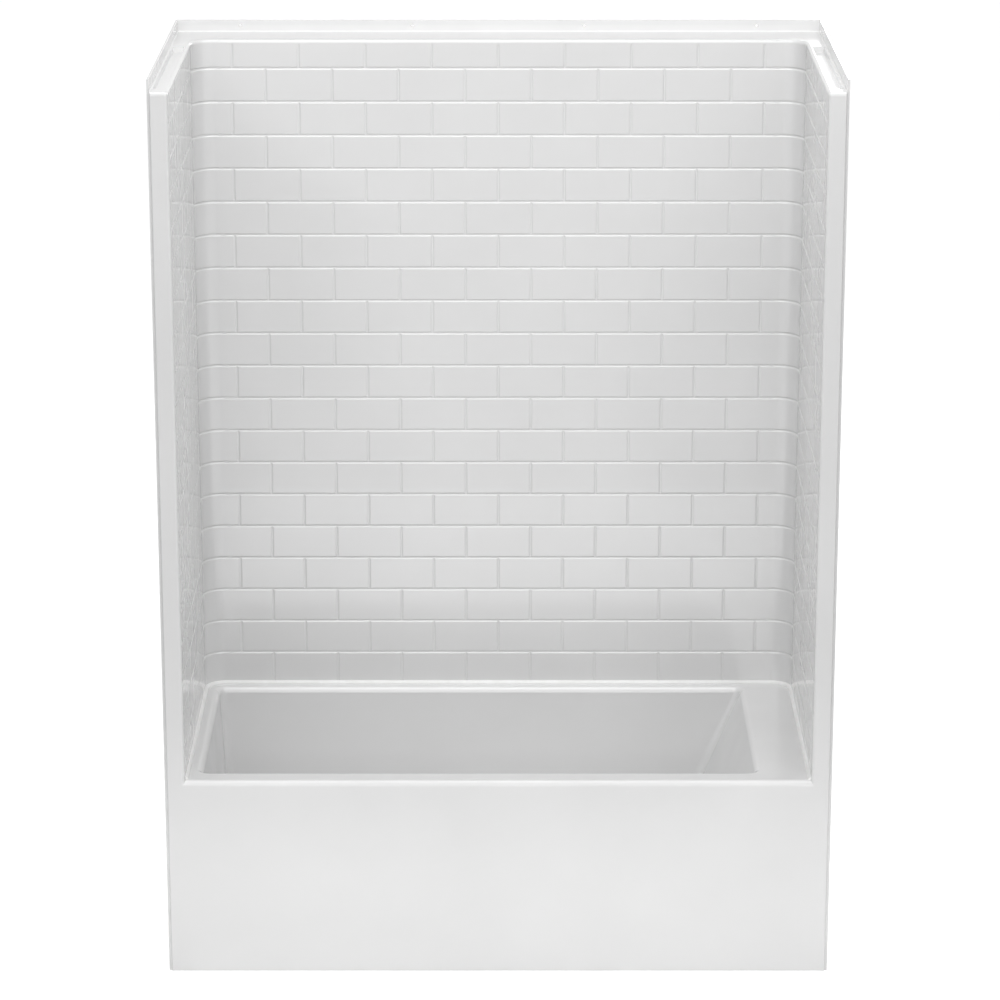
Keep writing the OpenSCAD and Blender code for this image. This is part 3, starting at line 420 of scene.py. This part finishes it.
def drain_ring(z):
    """The drain hole's edge, with its points at the same angles as the well's corner arcs."""
    angle = (np.arange(4)[:, None] + np.linspace(0, 1, CORNER_STEPS + 1)) * math.pi / 2
    x, y = DRAIN[0] + DRAIN_HOLE_R * np.cos(angle), DRAIN[1] + DRAIN_HOLE_R * np.sin(angle)
    return np.stack([x, y, np.full(angle.shape, float(z))], -1)


def well_shell():
    """Deck and well as one closed skin: the upper face in to the drain, the underside back out."""
    upper, under = well_rings(0), well_rings(SKIN)
    bottom = DECK - WELL_DEPTH
    rings = [deck_edge(upper[0], SKIN / 2, DECK), *upper, drain_ring(bottom)]
    rings += [drain_ring(bottom - SKIN), *under[::-1], deck_edge(under[0], SKIN, DECK - SKIN)]
    under_rings = range(len(upper) + 2, len(rings))
    outlines = np.array([ring.reshape(-1, 3) for ring in rings])
    return carried(outlines, round_too=True, rough_stations=under_rings)


def apron_shell():
    """The apron's section, foot to deck, carried across; its front turns back round both ends."""
    p = np.linspace(0, math.pi / 2, 11)
    outer = [(APRON_FOOT, 0), (2.5, 0), (0.7, 0.7), (0, 2.5)]
    outer += list(zip(APRON_R - APRON_R * np.cos(p), DECK - APRON_R + APRON_R * np.sin(p)))
    r = APRON_R - SKIN
    inner = list(zip(APRON_R - r * np.cos(p), DECK - APRON_R + r * np.sin(p)))[::-1]
    inner += [(SKIN, SKIN), (APRON_FOOT, SKIN)]
    section = np.array(outer + inner)
    inside = range(len(outer), len(section))
    half = DECK_HALF - JOGGLE
    d = EDGE_R * (1 - np.cos(np.linspace(0, math.pi / 2, 6)))
    x = np.concatenate([-half + d, half - d[::-1]])
    short = EDGE_R - np.minimum(half - np.abs(x), EDGE_R)
    back = EDGE_R - np.sqrt(np.maximum(0, EDGE_R**2 - short**2))
    outline = np.empty((len(x), len(section), 3))
    outline[:, :, 0] = x[:, None] * (1 + (section[:, 1] - DECK) * math.tan(LEAN) / half)
    outline[:, :, 1] = np.maximum(section[:, 0], back[:, None])
    outline[:, :, 2] = section[:, 1]
    return carried(outline, rough_points=inside)


def jamb_front():
    """A jamb's front in plan, from its outer edge in: a small round, the flat, the bend to the wall.

    Beside each point stands the direction from the face into the jamb.
    """
    edge = END_T - JOGGLE
    p = np.linspace(0, math.pi / 2, 5)
    nose = np.column_stack([edge - EDGE_R + EDGE_R * np.cos(p), EDGE_R - EDGE_R * np.sin(p)])
    p = np.linspace(0, math.pi / 2, 9)
    spin = np.column_stack([-np.sin(p), -np.cos(p)])
    points = np.vstack([nose, [[24.0, 0.0]], JAMB_R + JAMB_R * spin])
    return points, np.vstack([np.tile([0, 1.0], (len(nose) + 1, 1)), -spin])


def jamb_foot(side):
    """The jamb carried down through the apron's rounded edge, so that their faces are one."""
    plan = np.vstack([jamb_front()[0], [[0, APRON_R], [END_T - JOGGLE, APRON_R]]])
    plan = (plan + [ALCOVE_HALF, 0]) * [side, 1]
    return prism(plan, DECK - APRON_R, DECK)


TUB_NAILS = (70 - DECK, 370 - DECK)
deck_under, upstand_top = DECK - SKIN, DECK + UPSTAND
tub_shells = [
    apron_shell(),
    block((-DECK_HALF, UNIT_D - SKIN, deck_under), (DECK_HALF, UNIT_D, upstand_top)),
]
for s in (-1, 1):
    low, high = sorted((s * (DECK_HALF - SKIN), s * DECK_HALF))
    upstand_front = JOGGLE + FRONT_FLANGE + SKIN
    tub_shells.append(block((low, upstand_front, deck_under), (high, UNIT_D - SKIN, upstand_top)))
    tub_shells += [leaning(shell, s) for shell in nailing_edge(-DECK, 0, TUB_NAILS)]
    tub_shells.append(jamb_foot(s))
moulding("tub_moulding", [well_shell()], white_shell, "gloss_white_shell", "tub_section")
moulding("tub_apron", tub_shells, white_shell, "gloss_white_shell", "tub_section")

# The three wall sections: the same moulding, with a running-bond tile pattern formed in
# the face. Each turns over a rounded edge into its top ledge and nailing flange, and they
# bolt together through flanges behind the face, just past each rear cove.

WALL_H = 1575.0
COVE_R = 50.0
SEAM_LAND = 12.0
SEAM_FLANGE = 42.0
FOOT = 34.0
FLANGE_UP = 28.0
FLANGE_DOWN = 30.0
FLANGE_ROUND = 1.5
LEDGE_R = 7.0
TILE_X = 155.575
TILE_Z = 79.375
ROWS = 19
JOINT_DEPTH = 1.9
JOINT_BED = 0.8
JOINT_EDGE = 4.2
JOINT_STEPS = np.array([-4.3, -3.3, -2.5, -1.7, -0.7, 0.7, 1.7, 2.5, 3.3, 4.3])
END_UPRIGHT = 0.6
FADE_ROWS = WALL_H - np.array([16.0, 12.0, 9.0])
STRAIGHT = ALCOVE_D - COVE_R
FAN_END = 45.0
COVE_END = ALCOVE_HALF - COVE_R + math.pi * COVE_R / 2
POCKET_Y = (49.0, 622.0)
POCKET_X = (10.0, 37.0)
POCKET_DEPTH = 12.0
POCKET_SIDE = np.array([-0.8, 0.0, 0.6, 1.2, 2.0])
LEDGE_STEPS = [*(POCKET_X[0] + POCKET_SIDE), np.mean(POCKET_X), *(POCKET_X[1] - POCKET_SIDE[::-1])]
EDGE_NAILS = 150 + 400 * np.arange(4)
END_NAILS = (130, UNIT_D - 160)
STUDS = 406.4 * (np.arange(4) - 1.5)


def groove(distance):
    """Depth of a joint at a distance from its middle: a flat bed with softly rounded sides."""
    return JOINT_DEPTH * (1 - ease(np.abs(distance), JOINT_BED, JOINT_EDGE))


def tile_relief(along, z, upright):
    """Depth of the joints at a distance along the walls from the back's middle, and at a height.

    Joints lie level at each whole row. Upright joints stand at whole pitches in odd rows
    and at half pitches in even rows, where upright allows them; the deeper of the two counts.
    """
    row = np.floor(z / TILE_Z)
    level = groove(z - np.clip(np.round(z / TILE_Z), 1, ROWS) * TILE_Z)
    shift = np.where(row % 2 == 0, 0.5, 0.0)
    count = along / TILE_X - shift
    standing = groove((count - np.round(count)) * TILE_X) * upright
    return np.maximum(level, standing) * (1 - ease(z, FADE_ROWS[0], FADE_ROWS[-1]))


tile_rows = [k * TILE_Z + JOINT_STEPS for k in range(1, ROWS + 1)]
wall_rows = np.concatenate([[0.0], *tile_rows, FADE_ROWS, [WALL_H - LEDGE_R]])


def wall_outline(face, back, into, rim, out, along, upright, pocket):
    """The wall's section at every station of its plan, as one closed outline.

    It runs up the tiled face, over the rounded edge, across the ledge, up a small fillet
    into the flange, and home under the ledge and down behind the face. face and back are
    the skin's two sides in plan, into points into the wall, rim is the flange's inner
    face, out points through the flange, and pocket is 1 along the pocket.
    """
    stations = len(face)

    def level(plan, height):
        heights = np.broadcast_to(np.asarray(height, float), (stations,))
        return np.concatenate([plan, heights[:, None]], 1)

    z = wall_rows
    depth = tile_relief(along[:, None], z[None, :], upright[:, None])
    tiled = face[:, None, :] + into[:, None, :] * depth[:, :, None]
    rows = [level(tiled[:, i], z[i]) for i in range(len(z))]
    span = np.linalg.norm(rim - face, axis=1)[:, None]
    towards = (rim - face) / np.maximum(span, 1e-6)
    bend = np.minimum(LEDGE_R, 0.45 * span)
    for p in np.linspace(0, math.pi / 2, 7)[1:]:
        rise = LEDGE_R * (math.sin(p) - 1)
        rows.append(level(face + towards * bend * (1 - math.cos(p)), WALL_H + rise))
    begin, end = POCKET_X
    for x in LEDGE_STEPS:
        share = (x - LEDGE_R) / (END_T - SKIN - LEDGE_R)
        inside = ease(x, begin - 0.4, begin + 1.6) * (1 - ease(x, end - 1.6, end + 0.4))
        sunk = POCKET_DEPTH * inside
        rows.append(level(face + towards * (bend + (span - bend) * share), WALL_H - sunk * pocket))
    rows += [
        level(rim - towards * np.minimum(2.5, 0.2 * span), WALL_H),
        level(rim - towards * np.minimum(0.7, 0.05 * span), WALL_H + 0.7),
        level(rim, WALL_H + 2.5),
        level(rim + out, WALL_H + 2.5),
        level(rim + out, WALL_H - SKIN - POCKET_DEPTH * pocket),
        level(back, WALL_H - SKIN - POCKET_DEPTH * pocket),
        level(back, 0.0),
    ]
    return np.stack(rows, 1)


ROUGH_ROWS = (-4, -3, -2)


def flange_crown(path, out):
    """The raised flange's rounded top edge: its section carried along the inner face in plan."""
    p = np.linspace(0, math.pi / 2, 4)
    crown = FLANGE_ROUND * (1 - np.cos(p))
    top = WALL_H + FLANGE_UP - FLANGE_ROUND + FLANGE_ROUND * np.sin(p)
    across = np.concatenate([crown, SKIN - crown[::-1]])
    up = np.concatenate([top, top[::-1]])
    outline = np.empty((len(path), len(up), 3))
    outline[:, :, :2] = path[:, None, :] + out[:, None, :] * across[None, :, None]
    outline[:, :, 2] = up
    return carried(outline)


def end_wall_shells():
    """An end wall in its own frame: x out through the wall, y back, z up from the deck.

    In plan the face runs across the jamb, round its bend, back along the wall, round the
    cove and on to the seam. Each station is matched with a point on the nailing flange.
    """
    flat = END_T - SKIN
    front, front_in = jamb_front()
    front_back = np.column_stack([front[:, 0], np.full(len(front), SKIN)])
    bent = slice(6, None)
    front_back[bent] = front[bent] + SKIN * front_in[bent]
    joints = STRAIGHT + COVE_END - np.arange(1, 24) * TILE_X / 2
    joints = joints[(joints > 2 * JAMB_R) & (joints < STRAIGHT - 4)]
    begin, end = POCKET_Y
    side = np.array([-0.6, 0.2, 0.9, 1.6])
    pocket_y = [begin - 6, *(begin + side), *(end - side), FAN_END, 660.0, STRAIGHT]
    y = np.sort(np.concatenate([(joints[:, None] + JOINT_STEPS).ravel(), pocket_y]))
    wall = np.column_stack([np.zeros(len(y)), y])
    to_side, to_back = flat + COVE_R, UNIT_D - SKIN - STRAIGHT
    corner = math.atan2(to_back, to_side)
    turn = np.sort(np.append(np.linspace(0, math.pi / 2, 19)[1:], corner))
    ray = np.column_stack([np.cos(turn), np.sin(turn)])
    centre = np.array([-COVE_R, STRAIGHT])
    cove = centre + COVE_R * ray
    land = np.array([[-COVE_R - SEAM_LAND, ALCOVE_D]])
    face = np.vstack([front, wall, cove, land])
    into = np.vstack([front_in, np.tile([1.0, 0], (len(wall), 1)), ray, [[0, 1.0]]])
    back = np.vstack([front_back, wall + [SKIN, 0], cove + SKIN * ray, land + [0, SKIN]])
    reach = np.minimum(to_side / np.maximum(np.cos(turn), 1e-9), to_back / np.sin(turn))
    bends = len(front) + len(wall)
    rim = np.vstack([face[:bends], centre + ray * reach[:, None], [[land[0, 0], UNIT_D - SKIN]]])
    gone = np.concatenate([[0], np.cumsum(np.linalg.norm(np.diff(face, axis=0), axis=1))])
    fan = int(np.searchsorted(y, FAN_END)) + len(front)
    rim[:bends, 0] = flat
    rim[: fan + 1, 1] = JOGGLE + (FAN_END - JOGGLE) * gone[: fan + 1] / gone[fan]
    rim[0, 0] = END_T - JOGGLE
    out = np.where((np.arange(len(face)) < bends)[:, None], [1.0, 0.0], [0.0, 1.0])
    out[0] = 0, 1
    sides = np.arange(bends, len(face) - 1)
    out[sides] = np.column_stack([turn <= corner + 1e-9, turn >= corner - 1e-9]).astype(float)
    along = gone[-1] - gone + ALCOVE_HALF - COVE_R - SEAM_LAND
    upright = END_UPRIGHT * ((face[:, 1] > 2 * JAMB_R - 4) & (face[:, 1] < STRAIGHT - 0.5))
    pocket = ease(face[:, 1], begin - 0.5, begin + 1.5) * (1 - ease(face[:, 1], end - 1.5, end + 0.5))
    into = into * ease(np.maximum(face[:, 1], 0), 1, 14)[:, None]
    outline = wall_outline(face, back, into, rim, out, along, upright, pocket)
    shells = [carried(outline, rough_points=ROUGH_ROWS)]
    foot = slice(len(front), len(face))
    normal = (back - face)[foot] / SKIN
    sole = [face[foot] + normal, face[foot] + FOOT * normal]
    corners = ((sole[0], 0), (sole[1], 0), (sole[1], SKIN), (sole[0], SKIN))
    loop = [np.column_stack([plan, np.full(len(plan), h)]) for plan, h in corners]
    shells.append(carried(np.stack(loop, 1)))
    seam = -COVE_R - SEAM_LAND
    seam_far = (seam + SKIN, ALCOVE_D + SEAM_FLANGE, WALL_H - SKIN / 2)
    shells.append(block((seam, ALCOVE_D + 1, 0), seam_far))
    shells += nailing_edge(0, WALL_H - FLANGE_DOWN, EDGE_NAILS)
    step = [(min(x, flat), y) for x, y in NAILING_STEP]
    shells.append(prism(step, WALL_H - FLANGE_DOWN, WALL_H - SKIN / 2))
    path = np.array([[flat, JOGGLE], [flat, UNIT_D - SKIN], [seam, UNIT_D - SKIN]])
    shells.append(flange_crown(path, np.array([[1.0, 0], [1, 1], [0, 1]])))
    low, high = WALL_H - FLANGE_DOWN, WALL_H + FLANGE_UP - FLANGE_ROUND
    nails = [(y, WALL_H + FLANGE_UP / 2) for y in END_NAILS]
    shells += nailed((flat, JOGGLE, low), (END_T, UNIT_D, high), 1, 0, nails)
    shells.append(block((seam, UNIT_D - SKIN, low), (flat, UNIT_D, high)))
    return shells


for s, node in ((-1, "left_wall"), (1, "right_wall")):
    shells = [leaning(shell, s) for shell in end_wall_shells()]
    moulding(node + "_moulding", shells, white_shell, "gloss_white_shell", node)


def back_wall_shells():
    """The back wall: its plan is straight, and its two edges follow the end walls' lean."""
    half = ALCOVE_HALF - COVE_R - SEAM_LAND
    joints = np.arange(-9, 10) * TILE_X / 2
    joints = joints[np.abs(joints) < half - 8]
    x = np.concatenate([[-half], (joints[:, None] + JOINT_STEPS).ravel(), [half]])
    ones = np.ones(len(x))
    face = np.column_stack([x, ALCOVE_D * ones])
    into = np.tile([0, 1.0], (len(x), 1))
    rim = np.column_stack([x, (UNIT_D - SKIN) * ones])
    outline = wall_outline(face, face + [0, SKIN], into, rim, into, x, ones, 0 * ones)
    outline[..., 2] += DECK
    for end, s in ((0, -1), (-1, 1)):
        outline[end, :, 0] = s * (half + (outline[end, :, 2] - DECK) * math.tan(LEAN))
    shells = [carried(outline, rough_points=ROUGH_ROWS)]
    path = np.array([[-half, UNIT_D - SKIN], [half, UNIT_D - SKIN]])
    low, high = WALL_H - FLANGE_DOWN, WALL_H + FLANGE_UP - FLANGE_ROUND
    studs = [(x, WALL_H + FLANGE_UP / 2) for x in STUDS]
    flange = nailed((-half, UNIT_D - SKIN, low), (half, UNIT_D, high), 0, 1, studs)
    flange.append(flange_crown(path, np.array([[0, 1.0], [0, 1]])))
    for shell in flange:
        end = np.abs(shell[0][:, 0]) == half
        shell[0][end, 0] += np.sign(shell[0][end, 0]) * shell[0][end, 2] * math.tan(LEAN)
        shell[0][:, 2] += DECK
    shells += flange
    shells.append(block((-half, ALCOVE_D + 1, DECK), (half, ALCOVE_D + FOOT, DECK + SKIN)))
    edge = -COVE_R - SEAM_LAND
    seam = block((edge - SKIN, ALCOVE_D + 1, 0), (edge, ALCOVE_D + SEAM_FLANGE, WALL_H - SKIN / 2))
    shells += [leaning(seam, s) for s in (-1, 1)]
    return shells


moulding("back_wall_moulding", back_wall_shells(), white_shell, "gloss_white_shell", "back_wall")

# The walls' hidden stiffeners: fir plywood bonded behind the faces and under the back
# ledge, and a softwood batten up each jamb.

wear_finish(ply_up, "back_wall_battens", "left_wall_board", "right_wall_board")
wear_finish(ply_across, "back_ledge_board")
wear_finish(pine_up, "left_jamb_batten", "right_jamb_batten")

# Bolts, nuts and washers that draw the sections together: bright zinc plate, with the
# slight iridescence and dull patches that plating has.


def plated(name, colour, dull, roughness):
    """Plated or drawn metal: colour and roughness drift a little, with fine scratches."""
    made, shader = finish(name)
    cloud = pattern(made, 45, 3)
    shades(made, cloud, [(0.3, dull), (0.65, colour)], shader.inputs["Base Color"])
    between(made, cloud, roughness[1], roughness[0], shader.inputs["Roughness"])
    shader.inputs["Metallic"].default_value = 1
    relief(made, shader, pattern(made, 700, 2), 0.12, 0.0001)
    return made


zinc = plated("zinc_plate", (0.66, 0.68, 0.7), (0.5, 0.51, 0.52), (0.26, 0.45))
wear_finish(zinc, "seam_bolts", "seam_nuts", "seam_washers")
wear_finish(zinc, "deck_bolts", "deck_nuts", "deck_washers")
wear_finish(zinc, "lever_bracket", "lever_pin")

# The bead of sealant in the angle between the walls and the deck: white and satin, laid
# by hand and wiped smooth.

BEAD = 7.0


def bead_shell():
    """A quarter-round bead carried round the foot of the walls from jamb to jamb."""
    y = np.linspace(JAMB_R, STRAIGHT, 12)
    turn = np.linspace(0, math.pi / 2, 15)[1:]
    cove = np.column_stack([np.cos(turn), np.sin(turn)]) * COVE_R + [ALCOVE_HALF - COVE_R, STRAIGHT]
    right = np.vstack([np.column_stack([np.full(12, ALCOVE_HALF), y]), cove])
    inside = np.vstack([np.tile([-1.0, 0], (12, 1)), np.column_stack([-np.cos(turn), -np.sin(turn)])])
    path = np.vstack([right, right[::-1] * [-1, 1]])
    inside = np.vstack([inside, inside[::-1] * [-1, 1]])
    p = np.linspace(0, math.pi / 2, 8)
    across = np.concatenate([[0], BEAD * np.cos(p)])
    up = np.concatenate([[0], BEAD * np.sin(p)])
    outline = np.empty((len(path), 9, 3))
    outline[:, :, :2] = path[:, None, :] + inside[:, None, :] * across[None, :, None]
    outline[:, :, 2] = DECK + up
    return carried(outline)


sealant, sealant_shader = finish("white_sealant")
bead_white = [(0.3, (0.82, 0.82, 0.81)), (0.7, (0.87, 0.87, 0.87))]
shades(sealant, pattern(sealant, 40, 2), bead_white, sealant_shader.inputs["Base Color"])
between(sealant, pattern(sealant, 90, 2), 0.3, 0.42, sealant_shader.inputs["Roughness"])
relief(sealant, sealant_shader, pattern(sealant, 60, 2), 0.3, 0.0006)
moulding("sealant_bead", [bead_shell()], [sealant], "white_sealant", "deck_sealant")

# Waste and overflow: cast and drawn brass joined by slip nuts and black rubber washers,
# left raw out of sight, with a polished chrome drain flange and overflow plate.

brass = plated("raw_brass", (0.78, 0.6, 0.3), (0.56, 0.4, 0.19), (0.24, 0.42))
wear_finish(brass, "drain_shoe", "waste_arm", "waste_tee", "slip_nuts", "tailpiece")
wear_finish(brass, "overflow_tube", "overflow_elbow", "lift_rod", "plunger")

rubber, rubber_shader = finish("black_rubber")
rubber_black = [(0.3, (0.03, 0.03, 0.03)), (0.7, (0.06, 0.06, 0.06))]
shades(rubber, pattern(rubber, 120, 2), rubber_black, rubber_shader.inputs["Base Color"])
between(rubber, pattern(rubber, 160, 2), 0.6, 0.8, rubber_shader.inputs["Roughness"])
relief(rubber, rubber_shader, pattern(rubber, 500, 2), 0.3, 0.0003)
wear_finish(rubber, "drain_gasket", "slip_washers", "overflow_gasket")

chrome = plated("polished_chrome", (0.82, 0.83, 0.84), (0.74, 0.75, 0.76), (0.05, 0.12))
wear_finish(chrome, "drain_flange", "overflow_plate", "overflow_screws", "trip_lever")

# The room: a white floor and a white surround that keep the unit's shadow, a broad soft
# light from the front and above, and the camera where the photograph was taken from.

FLOOR_HALF = 40.0
FLOOR_GLOW = 0.85
AIR = 0.11
floor_mesh = bpy.data.meshes.new("floor")
corners = FLOOR_HALF * np.array([(-1, -1, 0), (1, -1, 0), (1, 1, 0), (-1, 1, 0)])
floor_mesh.from_pydata(corners.tolist(), [], [(0, 1, 2, 3)])
floor = bpy.data.objects.new("floor", floor_mesh)
bpy.context.scene.collection.objects.link(floor)
floor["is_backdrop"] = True


def when_seen(tree, plain, seen, output):
    """Shows one shader to the camera, mirrors and glass, and the plain one to all other light."""
    path = tree.nodes.new("ShaderNodeLightPath")
    eyes = path.outputs["Is Camera Ray"]
    for ray in ("Is Glossy Ray", "Is Transmission Ray"):
        either = tree.nodes.new("ShaderNodeMath")
        either.operation = "MAXIMUM"
        tree.links.new(eyes, either.inputs[0])
        tree.links.new(path.outputs[ray], either.inputs[1])
        eyes = either.outputs["Value"]
    mix = tree.nodes.new("ShaderNodeMixShader")
    tree.links.new(eyes, mix.inputs["Fac"])
    tree.links.new(plain, mix.inputs[1])
    tree.links.new(seen, mix.inputs[2])
    tree.links.new(mix.outputs["Shader"], output.inputs["Surface"])


floor_white, floor_shader = finish("pale_floor")
floor_shader.inputs["Base Color"].default_value = (0.8, 0.8, 0.8, 1)
floor_shader.inputs["Roughness"].default_value = 0.7
floor_mesh.materials.append(floor_white)
floor_tree = floor_white.node_tree
glow = floor_tree.nodes.new("ShaderNodeEmission")
glow.inputs["Strength"].default_value = FLOOR_GLOW
lit = floor_tree.nodes.new("ShaderNodeAddShader")
floor_tree.links.new(floor_shader.outputs["BSDF"], lit.inputs[0])
floor_tree.links.new(glow.outputs["Emission"], lit.inputs[1])
floor_out = floor_tree.nodes["Material Output"]
when_seen(floor_tree, floor_shader.outputs["BSDF"], lit.outputs["Shader"], floor_out)

world = bpy.data.worlds.new("room")
bpy.context.scene.world = world
world.use_nodes = True
world_tree = world.node_tree
air = world_tree.nodes["Background"]
air.inputs["Color"].default_value = (0.92, 0.92, 0.92, 1)
air.inputs["Strength"].default_value = AIR
backdrop = world_tree.nodes.new("ShaderNodeBackground")
backdrop.inputs["Color"].default_value = (1, 1, 1, 1)
world_out = world_tree.nodes["World Output"]
when_seen(world_tree, air.outputs["Background"], backdrop.outputs["Background"], world_out)


def lamp(name, place, aim, width, height, power):
    """A soft rectangular lamp at a place, turned to face a point."""
    data = bpy.data.lights.new(name, "AREA")
    data.shape = "RECTANGLE"
    data.size, data.size_y, data.energy = width, height, power
    made = bpy.data.objects.new(name, data)
    made.location = place
    away = np.array(place, float) - np.array(aim, float)
    yaw = math.atan2(away[0], -away[1])
    made.rotation_euler = (math.atan2(math.hypot(away[0], away[1]), away[2]), 0, yaw)
    bpy.context.scene.collection.objects.link(made)
    return made


lamp("front_light", (0, -5.0, 2.4), (0, 0, 1.0), 8.0, 1.6, 95)
lamp("high_light", (0, -3.0, 4.5), (0, 0, 1.0), 7.0, 1.6, 99)
lamp("top_light", (0, -0.6, 4.6), (0, 0, 1.0), 2.4, 1.6, 50)
lamp("low_light", (0, -1.7, 0.25), (0, -0.4, 0.2), 2.4, 0.3, 0.8).data.spread = math.radians(40)
lamp("rear_light", (2.5, 5.5, 3.0), (0, 0, 1.0), 3.0, 2.0, 80)

camera_data = bpy.data.cameras.new("camera")
camera_data.sensor_width = 36
camera_data.lens = 148.74
camera_data.clip_end = 60
camera = bpy.data.objects.new("camera", camera_data)
camera.location = (0.004, -9.2783, 3.5602)
camera.rotation_euler = (math.radians(74.6), 0, 0)
bpy.context.scene.collection.objects.link(camera)
bpy.context.scene.camera = camera
bpy.context.scene.view_settings.view_transform = "Standard"

bpy.context.view_layer.update()
low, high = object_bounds()
